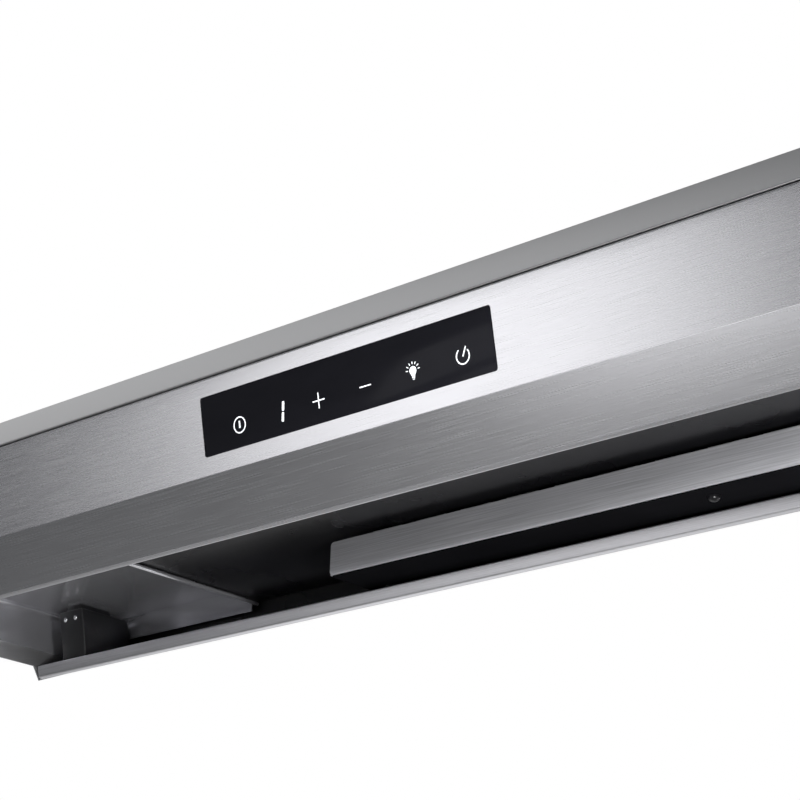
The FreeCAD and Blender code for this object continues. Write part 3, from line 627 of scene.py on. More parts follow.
def round_rect(wide: float, tall: float, radius: float, steps: int = 6) -> list[Point2]:
    """A rounded rectangle's outline about the origin.

    Args:
        wide: its width.
        tall: its height.
        radius: its corners' radius.
        steps: points on each corner.

    Returns:
        The closed outline.
    """
    points: list[Point2] = []
    for index, (sx, sy) in enumerate(((1, 1), (-1, 1), (-1, -1), (1, -1))):
        for step in range(steps + 1):
            angle = math.radians(90 * (index + step / steps))
            points.append((sx * (wide / 2 - radius) + radius * math.cos(angle),
                           sy * (tall / 2 - radius) + radius * math.sin(angle)))
    return points


def lathe(name: str, profile: Sequence[Point2], axis: str = "Z", steps: int = 64,
          closed: bool = True) -> bpy.types.Object:
    """Turn a profile of (radius, height) points about an axis through the origin.

    Args:
        name: the object's name.
        profile: points from one end of the section round to the other.
        axis: "X", "Y" or "Z".
        steps: segments round the circle.
        closed: whether the section's last point joins its first.

    Returns:
        The turned object.
    """
    shape = bmesh.new()
    rings = []
    for step in range(steps):
        angle = 2 * math.pi * step / steps
        ring = []
        for radius, height in profile:
            a, b = radius * math.cos(angle), radius * math.sin(angle)
            place = {"Z": (a, b, height), "X": (height, a, b), "Y": (b, height, a)}[axis]
            ring.append(shape.verts.new(place))
        rings.append(ring)
    count = len(profile)
    for step in range(steps):
        ring, following = rings[step], rings[(step + 1) % steps]
        for index in range(count if closed else count - 1):
            other = (index + 1) % count
            corners = (ring[index], ring[other], following[other], following[index])
            shape.faces.new(corners)
    bmesh.ops.remove_doubles(shape, verts=shape.verts, dist=1e-7)
    bmesh.ops.dissolve_degenerate(shape, edges=shape.edges, dist=1e-8)
    return new_object(name, mesh_of(name, shape))


def moved(source: bpy.types.Object, offset: Sequence[float],
          turn: Matrix | None = None) -> bpy.types.Object:
    """Move, and first turn, an object's mesh.

    Args:
        source: the object.
        offset: how far its mesh moves.
        turn: a turn that comes first, about the origin.

    Returns:
        The same object.
    """
    if turn is not None:
        source.data.transform(turn)
    source.data.transform(Matrix.Translation(Vector(offset)))
    return source


def dress(piece: bpy.types.Object, slot: Slot) -> bpy.types.Object:
    """Give a new piece its slot's material.

    Args:
        piece: the piece.
        slot: its finish.

    Returns:
        The piece.
    """
    piece.data.materials.clear()
    piece.data.materials.append(slot.material())
    return piece


def settle(piece: bpy.types.Object, slot: Slot, body: str,
           replaced: Sequence[str] = ()) -> bpy.types.Object:
    """Dress a finished piece, let it ride on a body and stand for CAD nodes.

    Args:
        piece: the finished object.
        slot: its finish.
        body: the CAD body that it moves with.
        replaced: the CAD nodes that it stands for.

    Returns:
        The piece.
    """
    dress(smooth(piece), slot)
    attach(piece, body)
    if replaced:
        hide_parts(*replaced)
    LOG.info("%s: %d faces on %s", piece.name, len(piece.data.polygons), body)
    return piece


# ------------------------------------------------------------------------- geometry nodes
class Recipe:
    """A Geometry Nodes tree with named inputs that ends in realised, dressed geometry."""

    def __init__(self, name: str) -> None:
        """Start a tree with a geometry input, an output and a Material input."""
        self.tree = bpy.data.node_groups.new(name, "GeometryNodeTree")
        self.tree.interface.new_socket("Geometry", in_out="INPUT",
                                       socket_type="NodeSocketGeometry")
        self.tree.interface.new_socket("Geometry", in_out="OUTPUT",
                                       socket_type="NodeSocketGeometry")
        self.given = self.tree.nodes.new("NodeGroupInput")
        self.result = self.tree.nodes.new("NodeGroupOutput")
        self.names: dict[str, str] = {}
        self.ask("Finish", "Material")

    def ask(self, name: str, kind: str, default: object = None) -> None:
        """Add a named input.

        Args:
            name: the input's name.
            kind: the socket's type, without the NodeSocket prefix.
            default: its default value.
        """
        socket = self.tree.interface.new_socket(name, in_out="INPUT",
                                                socket_type=f"NodeSocket{kind}")
        if default is not None:
            socket.default_value = default
        self.names[name] = socket.identifier

    def wire(self, name: str, target: object) -> None:
        """Lead a named input to a socket."""
        self.tree.links.new(self.given.outputs[name], target)

    def add(self, kind: str, prefix: str = "GeometryNode", **settings: object) -> bpy.types.Node:
        """Add a node of a kind, with its properties.

        Args:
            kind: the node's type, without its prefix.
            prefix: the type's prefix.
            settings: its properties.

        Returns:
            The new node.
        """
        made = self.tree.nodes.new(prefix + kind)
        for name, value in settings.items():
            setattr(made, name, value)
        return made

    def join(self, source: object, target: object) -> None:
        """Join two sockets."""
        self.tree.links.new(source, target)

    def close(self, instances: object) -> "Recipe":
        """End the tree: realise the instances and set their material.

        Args:
            instances: the socket that holds the instances.

        Returns:
            The recipe itself.
        """
        real = self.add("RealizeInstances")
        finish = self.add("SetMaterial")
        self.join(instances, real.inputs["Geometry"])
        self.join(real.outputs["Geometry"], finish.inputs["Geometry"])
        self.wire("Finish", finish.inputs["Material"])
        self.join(finish.outputs["Geometry"], self.result.inputs["Geometry"])
        return self

    def make(self, name: str, base: bpy.types.Mesh, **values: object) -> bpy.types.Object:
        """Run the tree on a mesh and keep the result as a plain object.

        Args:
            name: the new object's name.
            base: the mesh that the tree starts from.
            values: the named inputs, with underscores for spaces.

        Returns:
            The object, with its modifier removed.
        """
        made = new_object(name, base)
        step = made.modifiers.new("recipe", "NODES")
        step.node_group = self.tree
        for key, value in values.items():
            step[self.names[key.replace("_", " ")]] = value
        return baked(made)


def row_recipe() -> Recipe:
    """A tree that repeats one part along a straight line: inputs Part, Count, Start, Step.

    Returns:
        The tree.
    """
    recipe = Recipe("row_of_parts")
    recipe.ask("Part", "Object")
    recipe.ask("Count", "Int", 2)
    recipe.ask("Start", "Vector", (0.0, 0.0, 0.0))
    recipe.ask("Step", "Vector", (0.01, 0.0, 0.0))
    line = recipe.add("MeshLine", mode="OFFSET")
    recipe.wire("Count", line.inputs["Count"])
    recipe.wire("Start", line.inputs["Start Location"])
    recipe.wire("Step", line.inputs["Offset"])
    part = recipe.add("ObjectInfo")
    recipe.wire("Part", part.inputs["Object"])
    put = recipe.add("InstanceOnPoints")
    recipe.join(line.outputs["Mesh"], put.inputs["Points"])
    recipe.join(part.outputs["Geometry"], put.inputs["Instance"])
    return recipe.close(put.outputs["Instances"])


def wheel_recipe() -> Recipe:
    """A tree that repeats one part round the X axis: inputs Part, Count, Centre.

    Returns:
        The tree.
    """
    recipe = Recipe("wheel_of_parts")
    recipe.ask("Part", "Object")
    recipe.ask("Count", "Int", 24)
    recipe.ask("Centre", "Vector", (0.0, 0.0, 0.0))
    line = recipe.add("MeshLine", mode="OFFSET")
    line.inputs["Offset"].default_value = (0.0, 0.0, 0.0)
    recipe.wire("Count", line.inputs["Count"])
    recipe.wire("Centre", line.inputs["Start Location"])
    index = recipe.add("InputIndex")
    share = recipe.add("Math", prefix="ShaderNode", operation="DIVIDE")
    recipe.join(index.outputs["Index"], share.inputs[0])
    recipe.wire("Count", share.inputs[1])
    angle = recipe.add("Math", prefix="ShaderNode", operation="MULTIPLY")
    angle.inputs[1].default_value = 2 * math.pi
    recipe.join(share.outputs[0], angle.inputs[0])
    turn = recipe.add("CombineXYZ", prefix="ShaderNode")
    recipe.join(angle.outputs[0], turn.inputs["X"])
    part = recipe.add("ObjectInfo")
    recipe.wire("Part", part.inputs["Object"])
    put = recipe.add("InstanceOnPoints")
    recipe.join(line.outputs["Mesh"], put.inputs["Points"])
    recipe.join(part.outputs["Geometry"], put.inputs["Instance"])
    recipe.join(turn.outputs["Vector"], put.inputs["Rotation"])
    return recipe.close(put.outputs["Instances"])


def fastener_recipe() -> Recipe:
    """A tree that puts a part on each point of a mesh: inputs Part, Seed.

    Each part is turned at random about its own axis, as driven screws are, and then to the
    point's own direction, which the mesh keeps in its "turn" attribute.

    Returns:
        The tree.
    """
    recipe = Recipe("fasteners")
    recipe.ask("Part", "Object")
    recipe.ask("Seed", "Int", 7)
    part = recipe.add("ObjectInfo")
    recipe.wire("Part", part.inputs["Object"])
    spin = recipe.add("RandomValue", prefix="FunctionNode", data_type="FLOAT")
    spin.inputs["Max"].default_value = 2 * math.pi
    recipe.wire("Seed", spin.inputs["Seed"])
    own = recipe.add("CombineXYZ", prefix="ShaderNode")
    recipe.join(spin.outputs["Value"], own.inputs["Z"])
    turn = recipe.add("InputNamedAttribute", data_type="FLOAT_VECTOR")
    turn.inputs["Name"].default_value = "turn"
    both = recipe.add("RotateRotation", prefix="FunctionNode", rotation_space="LOCAL")
    recipe.join(turn.outputs["Attribute"], both.inputs["Rotation"])
    recipe.join(own.outputs["Vector"], both.inputs["Rotate By"])
    put = recipe.add("InstanceOnPoints")
    recipe.join(recipe.given.outputs["Geometry"], put.inputs["Points"])
    recipe.join(part.outputs["Geometry"], put.inputs["Instance"])
    recipe.join(both.outputs["Rotation"], put.inputs["Rotation"])
    return recipe.close(put.outputs["Instances"])


@dataclass
class Workshop:
    """The Geometry Nodes trees that the sub-assemblies share."""

    row: Recipe
    wheel: Recipe
    fasteners: Recipe

    @staticmethod
    def open() -> "Workshop":
        """Build every tree once."""
        return Workshop(row_recipe(), wheel_recipe(), fastener_recipe())

    def place(self, name: str, part: bpy.types.Object, spots: Sequence[tuple], slot: Slot,
              seed: int = 7) -> bpy.types.Object:
        """Put copies of a part on spots.

        Args:
            name: the new object's name.
            part: the part, about the origin with +Z out of the surface.
            spots: (point, Euler turn) pairs.
            slot: the finish.
            seed: for the parts' own random turn.

        Returns:
            One object with every copy.
        """
        base = bpy.data.meshes.new(name)
        base.from_pydata([tuple(point) for point, _ in spots], [], [])
        turns = base.attributes.new("turn", "FLOAT_VECTOR", "POINT")
        turns.data.foreach_set("vector", [value for _, turn in spots for value in turn])
        made = self.fasteners.make(name, base, Part=part, Seed=seed, Finish=slot.material())
        bpy.data.objects.remove(part)
        return made


# ------------------------------------------------------------------------- the hood's axes
@dataclass(frozen=True)
class HoodAxes:
    """Where the hood's main lines lie, read from the frame."""

    front: float
    rear: float
    left: float
    right: float
    lip: float
    rim_turn: float = math.radians(12.3)
    filter_turn: float = math.radians(10.16)
    lip_run: float = 15 * MM

    @staticmethod
    def read() -> "HoodAxes":
        """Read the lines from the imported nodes.

        Returns:
            The hood's axes.
        """
        low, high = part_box("front_fascia")
        side_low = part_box("side_panel_left")[0]
        side_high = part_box("side_panel_right")[1]
        return HoodAxes(low.y, side_high.y, side_low.x, side_high.x, low.z)

    def rim(self) -> Matrix:
        """The transform from the rim plane's own axes to the hood's."""
        return (Matrix.Translation((0.0, self.front + self.lip_run, self.lip))
                @ Matrix.Rotation(-self.rim_turn, 4, "X"))

    def on_rim(self, piece: bpy.types.Object) -> bpy.types.Object:
        """Lay a piece drawn on the rim plane's axes in its place."""
        piece.data.transform(self.rim())
        return piece


# ------------------------------------------------------------------------- sub-assemblies
@dataclass
class OuterBody:
    """Fascia, top panel, sides and back."""

    axes: HoodAxes
    shop: Workshop
    gauge: float = 1.0 * MM
    bevel: float = 23.3 * MM
    seam: float = 1.0 * MM
    face_low: float = -83.0 * MM
    chin_run: float = 13.0 * MM
    chin_low: float = -117.4 * MM
    groove: float = 0.55 * MM
    side_screws: tuple[Point2, ...] = ((-0.19, -0.04), (0.0, -0.07), (0.2, -0.04))

    def build(self) -> None:
        """Make every piece of the outer body."""
        self.fascia()
        self.top()
        self.sides()
        self.screws()

    def span(self) -> tuple[float, float]:
        """The inside of the two side panels, along X."""
        return self.axes.left + self.gauge, self.axes.right - self.gauge

    def fascia(self) -> None:
        """The folded fascia: a flat face, a chin that leans back, a groove and the lip."""
        front, lip = self.axes.front, self.axes.lip
        top = -self.bevel - self.seam
        run = Vector((self.chin_run, self.chin_low - self.face_low)).normalized()
        square = Vector((-run.y, run.x)) * self.groove
        groove_top = Vector((front + self.chin_run, self.chin_low)) - run * 0.2 * MM
        groove_low = groove_top + run * self.groove
        lip_y = front + self.axes.lip_run
        corners = [
            (front + 12 * MM, top, 0), (front, top, 1.0 * MM),
            (front, self.face_low, 1.8 * MM),
            (*groove_top, 0), (*(groove_top + square), 0),
            (*(groove_low + square), 0), (*groove_low, 0.12 * MM),
            (lip_y, lip, 0.9 * MM), (lip_y + 3.4 * MM, lip + 0.75 * MM, 0.7 * MM),
            (lip_y + 3.4 * MM, lip + 36 * MM, 0)]
        outline = thickened(fillet(corners), self.gauge * 0.9)
        piece = prism("fascia", outline, *self.span())
        low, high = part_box("touch_glass")
        middle = (low + high) / 2
        window = round_rect(high.x - low.x + 0.5 * MM, high.z - low.z + 0.5 * MM, 1.8 * MM)
        window = [(a + middle.x, b + middle.z) for a, b in window]
        cutter = prism("window", window, front - 4 * MM, front + 4 * MM, "Y")
        settle(carve(piece, [cutter]), Slot.FASCIA, "hood", ["front_fascia"])

    def top(self) -> None:
        """The front sheet and wings as one piece, with its strip and holes; the duct plate."""
        front, rear = self.axes.front, self.axes.rear
        corners = [(rear - self.gauge, 0, 0), (front + self.bevel, 0, 3.0 * MM),
                   (front, -self.bevel, 1.0 * MM), (front + 12 * MM, -self.bevel, 0)]
        outline = thickened(fillet(corners), self.gauge)
        piece = prism("top_sheet", outline, *self.span())
        record = {mount["name"]: mount for mount in frame["record"]["mounts"]}
        pattern = record["cabinet_screws"]["dims"]
        across, along = pattern["spacing_x_mm"] * MM / 2, pattern["spacing_y_mm"] * MM / 2
        holes = [(sx * across, sy * along, pattern["hole_r_mm"] * MM)
                 for sx in (-1, 1) for sy in (-1, 1)]
        inlet = record["cable_inlet"]["pos_m"]
        holes.append((inlet[0], inlet[1], 11 * MM))
        low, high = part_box("duct_plate")
        spare = Vector((0.15 * MM, 0.15 * MM, 9 * MM))
        cutters = [slab("duct_square", low - spare, high + spare)]
        for x, y, radius in holes:
            profile = [(0, -9 * MM), (radius, -9 * MM), (radius, 9 * MM), (0, 9 * MM)]
            cutters.append(moved(lathe("hole", profile, steps=48, closed=False), (x, y, 0)))
        settle(carve(piece, cutters), Slot.BODY, "hood",
               ["top_panel", "top_wing_left", "top_wing_right"])
        carry("duct_plate", Slot.ZINC)

    def sides(self) -> None:
        """Side and rear panels keep their CAD shape."""
        for name in ("side_panel_left", "side_panel_right"):
            carry(name, Slot.BODY)
        carry("rear_panel", Slot.ZINC)

    def screws(self) -> None:
        """Domed, cross recessed screws on the side panels."""
        head = screw_head("side_head", 4.0 * MM, 1.5 * MM)
        spots = []
        for x, way in ((self.axes.left, -1), (self.axes.right, 1)):
            for y, z in self.side_screws:
                spots.append(((x, y, z), (0.0, way * math.pi / 2, 0.0)))
        made = self.shop.place("side_screw_heads", head, spots, Slot.SCREW)
        settle(made, Slot.SCREW, "hood", ["side_screws"])


def carry(node: str, slot: Slot) -> None:
    """Give a CAD node that keeps its shape its slot's material.

    Args:
        node: the CAD node's name.
        slot: its finish.
    """
    piece = frame["nodes"][node]
    if not piece.material_slots:
        piece.data.materials.append(None)
    for place in piece.material_slots:
        place.material = slot.material()


def dome(name: str, radius: float, rise: float, steps: int = 24) -> bpy.types.Object:
    """A low dome about the origin, +Z out.

    Args:
        name: the object's name.
        radius: the dome's radius.
        rise: the dome's height.
        steps: segments round the dome.

    Returns:
        The dome.
    """
    profile = [(0.0, 0.0), (radius, 0.0), (radius, rise * 0.25)]
    for step in range(1, 6):
        angle = math.radians(90 * step / 5)
        profile.append((radius * math.cos(angle) if step < 5 else 0.0,
                        rise * (0.25 + 0.75 * math.sin(angle))))
    return lathe(name, profile, steps=steps, closed=False)


def screw_head(name: str, radius: float, rise: float) -> bpy.types.Object:
    """A domed screw head with a cross recess.

    Args:
        name: the object's name.
        radius: the head's radius.
        rise: the head's height.

    Returns:
        The head.
    """
    arm, wide, deep = radius * 0.55, radius * 0.16, rise * 0.5
    cutters = [slab("recess", (-a, -b, rise - deep), (a, b, rise + deep))
               for a, b in ((arm, wide), (wide, arm))]
    return carve(dome(name, radius, rise), cutters)


@dataclass
class ControlStrip:
    """Touch glass, its lit symbols and what lies behind it."""

    axes: HoodAxes
    depth: float = 0.12 * MM
    symbol_row: float = -58.2

    def build(self) -> None:
        """Make the strip."""
        low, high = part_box("touch_glass")
        middle = (low + high) / 2
        outline = round_rect(high.x - low.x, high.z - low.z, 1.6 * MM)
        outline = [(a + middle.x, b + middle.z) for a, b in outline]
        glass = prism("control_glass", outline, low.y, high.y, "Y")
        settle(rounded(glass, 0.35 * MM, 2, 50), Slot.GLASS, "hood", ["touch_glass"])
        self.symbols(low.y)
        carry("control_housing", Slot.MOULDED)
        carry("control_board", Slot.BOARD)

    def stroke(self, x: float, z: float, wide: float, tall: float, turn: float = 0.0,
               ) -> bpy.types.Object:
        """A rounded bar of a symbol, centred at (x, z), in mm, turned clockwise by degrees.

        Args:
            x: its centre along X, in mm.
            z: its centre along Z, in mm.
            wide: its width in mm.
            tall: its height in mm.
            turn: its clockwise turn in degrees.

        Returns:
            The bar.
        """
        outline = round_rect(wide * MM, tall * MM, min(wide, tall) * 0.3 * MM, 3)
        bar = prism("stroke", outline, -self.depth, 0.0, "Y")
        return moved(bar, (x * MM, 0, z * MM), Matrix.Rotation(math.radians(turn), 4, "Y"))

    def arc(self, x: float, z: float, radius: float, thick: float, start: float,
            end: float) -> bpy.types.Object:
        """A ring's stretch between two clock angles in degrees, centred at (x, z), in mm.

        Args:
            x: its centre along X, in mm.
            z: its centre along Z, in mm.
            radius: its middle radius in mm.
            thick: its thickness in mm.
            start: where it starts, in degrees clockwise from the top.
            end: where it ends.

        Returns:
            The arc.
        """
        steps = 40
        outline: list[Point2] = []
        for reach, order in ((radius + thick / 2, 1), (radius - thick / 2, -1)):
            ring = []
            for step in range(steps + 1):
                angle = math.radians(start + (end - start) * step / steps)
                ring.append(((x + reach * math.sin(angle)) * MM,
                             (z + reach * math.cos(angle)) * MM))
            outline += ring[::order]
        return prism("arc", outline, -self.depth, 0.0, "Y")

    def hoop(self, x: float, z: float, radius: float, thick: float) -> list[bpy.types.Object]:
        """A whole ring, as two arcs whose ends lap over each other."""
        return [self.arc(x, z, radius, thick, start, start + 184) for start in (0, 180)]

    def symbols(self, face: float) -> None:
        """The symbols, from left to right: power, speed digit, plus, minus, lamp, timer.

        Args:
            face: the glass face's place along Y.
        """
        thin = 0.7
        power_x, digit_x, plus_x, minus_x, lamp_x, timer_x = -82.6, -46.6, -17.8, 18.6, 54.5, 90.6
        power = self.hoop(power_x, 0, 4.7, thin) + [self.stroke(power_x, 0.3, 1.1, 4.4)]
        plus = [self.stroke(plus_x, 0, 9.4, thin), self.stroke(plus_x, 0, thin, 9.4)]
        minus = [self.stroke(minus_x, 0, 8.8, thin)]
        lamp = self.hoop(lamp_x, 0.4, 1.25, 2.4)
        lamp += [self.stroke(lamp_x, -2.0, 2.6, 1.7), self.stroke(lamp_x, -3.5, 2.2, 0.6),
                 self.stroke(lamp_x, -4.5, 1.5, 0.5)]
        for step in range(-3, 4):
            angle = math.radians(step * 28)
            lamp.append(self.stroke(lamp_x + 4.4 * math.sin(angle), 0.4 + 4.4 * math.cos(angle),
                                    0.5, 1.5, step * 28))
        timer = [self.arc(timer_x, 0, 4.5, thin, 52, 325),
                 self.stroke(timer_x + 1.3, 2.3, thin, 6.0, 26)]
        strokes = power + plus + minus + lamp + timer
        spot = (0, face, self.symbol_row * MM)
        settle(moved(joined("lit_symbols", strokes), spot), Slot.SYMBOL, "hood",
               ["touch_symbols"])
        digit = [self.stroke(digit_x + 0.6, 3.2, 1.7, 5.6, 9),
                 self.stroke(digit_x - 0.4, -3.1, 1.7, 5.6, 9)]
        settle(moved(joined("speed_digit", digit), spot), Slot.SYMBOL, "hood",
               ["display_digit"])


@dataclass
class FrontUnderside:
    """Pans, liner, rolled edge, suction plate, lamps and hangers."""

    axes: HoodAxes
    shop: Workshop
    gauge: float = 1.0 * MM
    pan_rise: float = 42.0 * MM
    liner_rise: float = 31.5 * MM
    reach: float = 182.0 * MM
    plate_near: float = 102.3 * MM
    plate_rise: float = 4.8 * MM
    flange: float = 22.0 * MM
    plate_deep: float = 45.0 * MM
    plate_ends: Point2 = (-130.0 * MM, 350.0 * MM)
    lamp_x: float = 230.0 * MM
    lamp_run: float = 36.0 * MM

    def build(self) -> None:
        """Make every piece of the front underside."""
        self.pans()
        self.edge()
        self.plate()
        self.lamps()
        self.hangers()
        carry("enamel_liner", Slot.ENAMEL)
        # The plate's studs take the near-black enamel as painted shade, so that they vanish into
        # the dark above the plate.
        carry("plate_studs", Slot.ENAMEL)

    def pans(self) -> None:
        """The two steel pans, each with a rounded corner down its side wall."""
        wall = self.axes.right - self.gauge - 0.3 * MM
        for side, flat, step in (("left", 300 * MM, 279.6 * MM), ("right", 382 * MM, 362 * MM)):
            way = -1 if side == "left" else 1
            corners = [(way * wall, self.pan_rise - 30 * MM, 0),
                       (way * wall, self.pan_rise, 6 * MM),
                       (way * flat, self.pan_rise, 6 * MM),
                       (way * step, self.liner_rise, 0)]
            outline = thickened(fillet(corners, 7), self.gauge * way * 0.9)
            pan = prism("pan", outline, 4 * MM, self.reach, "Y")
            ends = sorted((way * step, way * wall))
            back = slab("return", (ends[0], self.reach - 4 * MM, self.pan_rise - 18 * MM),
                        (ends[1], self.reach - 3 * MM, self.pan_rise))
            made = joined(f"{side}_pan", [pan, rounded(back, 0.3 * MM)])
            settle(self.axes.on_rim(made), Slot.PAN, "hood", [f"pan_{side}"])

    def edge(self) -> None:
        """The rolled edge between the left pan and the liner."""
        radius = 1.6 * MM
        ring = [(radius * math.cos(a), radius * math.sin(a))
                for a in (2 * math.pi * step / 20 for step in range(20))]
        outline = [(x - 278 * MM, z + self.liner_rise - 1.7 * MM) for x, z in ring]
        bead = prism("rolled_bead", outline, 4 * MM, self.reach, "Y")
        settle(self.axes.on_rim(bead), Slot.PAN, "hood", ["rolled_edge"])

    def plate(self) -> None:
        """The suction plate: a tray with a tall front flange whose corners are rounded."""
        left, right = self.plate_ends
        near, low, far = self.plate_near, self.plate_rise, self.plate_near + self.plate_deep
        floor = fillet([(far, low + 9 * MM, 0), (far, low, 1.2 * MM), (near + 1.4 * MM, low, 0)])
        tray = prism("tray", thickened(floor[::-1], self.gauge), left, right)
        middle, wide = (left + right) / 2, right - left
        face = [(a + middle, b + low + self.flange / 2)
                for a, b in round_rect(wide, self.flange, 2.6 * MM)]
        front = rounded(prism("flange", face, near, near + self.gauge, "Y"), 0.3 * MM, 2, 50)
        ends = [slab("end", (x, near + self.gauge, low), (x + self.gauge, far, low + 9 * MM))
                for x in (left, right - self.gauge)]
        made = joined("suction_tray", [tray, front, *ends])
        settle(self.axes.on_rim(made), Slot.PLATE, "hood", ["suction_plate"])
        # The underlay sheet: its matt near-black with no shine is partly the sheet's own colour
        # and partly painted shade, for the deep slot behind the plate.
        skin = slab("dark_skin", (left + 1.5 * MM, near + MM, low - 1.2 * MM),
                    (right - 1.5 * MM, far - MM, low))
        skin = rounded(skin, 0.4 * MM)
        settle(self.axes.on_rim(skin), Slot.UNDERLAY, "hood", ["plate_underlay"])
        # The screw heads under the plate take the near-black enamel: painted shade, so that they
        # show only as faint domes in the dark.
        head = dome("plate_head", 3.6 * MM, 3.4 * MM)
        spots = [((x, y, low - 1.2 * MM), (math.pi, 0.0, 0.0))
                 for x, y in ((0.154, near + 14 * MM), (-0.11, near + 36 * MM),
                              (0.338, near + 36 * MM))]
        screws = self.shop.place("plate_screw_heads", head, spots, Slot.ENAMEL, 3)
        settle(self.axes.on_rim(screws), Slot.ENAMEL, "hood", ["plate_screws"])

    def lamps(self) -> None:
        """Two round lamps: turned bezel, ribbed lens and finned casting."""
        under = self.liner_rise
        for side, x in (("left", -self.lamp_x), ("right", self.lamp_x)):
            place = (x, self.lamp_run, under)
            profile = fillet([(25.2 * MM, 0.0, 0), (25.2 * MM, -1.2 * MM, 0.6 * MM),
                              (27.5 * MM, -2.0 * MM, 1.2 * MM), (29.8 * MM, -1.2 * MM, 0.8 * MM),
                              (30.0 * MM, 0.0, 0)], 4)
            bezel = moved(lathe("bezel", profile, steps=96), place)
            bezel.name = f"bezel_ring_{side}"
            settle(self.axes.on_rim(bezel), Slot.SCREW, "hood", [f"lamp_bezel_{side}"])
            wave = [(0.0, 1.0 * MM), (0.0, -1.0 * MM)]
            for step in range(1, 25):
                wave.append((step * MM, (-1.0 + 0.18 * (step % 2)) * MM))
            wave.append((24.8 * MM, 1.0 * MM))
            lens = moved(lathe(f"ribbed_lens_{side}", wave, steps=64, closed=False), place)
            settle(self.axes.on_rim(lens), Slot.LAMP, "hood", [f"lamp_lens_{side}"])
            carry(f"lamp_body_{side}", Slot.CASTING)

    def hangers(self) -> None:
        """The black blocks that carry the trough, each with a neck and two small screws."""
        spots = []
        for side in ("left", "right"):
            low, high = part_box(f"trough_hanger_{side}")
            top_front, drop = -111.6 * MM, 9.6 * MM
            outline = [(low.y, top_front), (high.y, top_front - drop),
                       (high.y, -146.6 * MM), (low.y, low.z)]
            block = rounded(prism("block", outline, low.x, high.x), 1.1 * MM, 3)
            neck_line = [(low.y + 4 * MM, -113.0 * MM), (low.y + 32 * MM, -119.0 * MM),
                         (low.y + 32 * MM, -113.4 * MM), (low.y + 4 * MM, -107.2 * MM)]
            neck = rounded(prism("neck", neck_line, low.x + 5 * MM, low.x + 20 * MM), 0.6 * MM)
            made = joined(f"hanger_{side}", [block, neck])
            settle(made, Slot.MOULDED, "hood", [f"trough_hanger_{side}"])
            for offset in (7 * MM, 18 * MM):
                spots.append(((low.x + offset, low.y, -118 * MM), (math.pi / 2, 0.0, 0.0)))
        head = screw_head("hanger_head", 1.8 * MM, 1.1 * MM)
        screws = self.shop.place("hanger_screw_heads", head, spots, Slot.SCREW, 5)
        settle(screws, Slot.SCREW, "hood", ["hanger_screws"])


@dataclass
class GreaseTrough:
    """The long trough along the lowest line."""

    axes: HoodAxes
    gauge: float = 1.0 * MM

    def build(self) -> None:
        """Make the trough: a bent sheet with a hemmed front edge and closed ends."""
        low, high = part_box("grease_trough")
        near, far = low.y, high.y
        base, foot, lip = low.z, low.z + 1.7 * MM, low.z + 9.9 * MM
        slope = (far - near) * 0.17
        corners = [(near + 3.2 * MM, lip - 3.4 * MM, 0), (near + 2.4 * MM, lip, 0.9 * MM),
                   (near, lip, 0.9 * MM), (near, foot, 1.2 * MM),
                   (near + 2.6 * MM, base, 1.6 * MM), (far, base + slope, 2.0 * MM),
                   (far, high.z, 0)]
        path = fillet(corners, 5)
        sheet = prism("trough_sheet", thickened(path, self.gauge * 0.8), low.x, high.x)
        wall = fillet([(near + 0.5 * MM, lip - MM, 0), (near + 0.5 * MM, foot, 1.2 * MM),
                       (near + 2.8 * MM, base + 0.5 * MM, 1.6 * MM),
                       (far - 0.5 * MM, base + slope + 0.5 * MM, 2 * MM),
                       (far - 0.5 * MM, high.z - MM, 0)], 5)
        ends = [prism("end", wall, x, x + self.gauge) for x in (low.x, high.x - self.gauge)]
        made = joined("trough", [sheet, *ends])
        settle(made, Slot.TROUGH, "trough", ["grease_trough"])


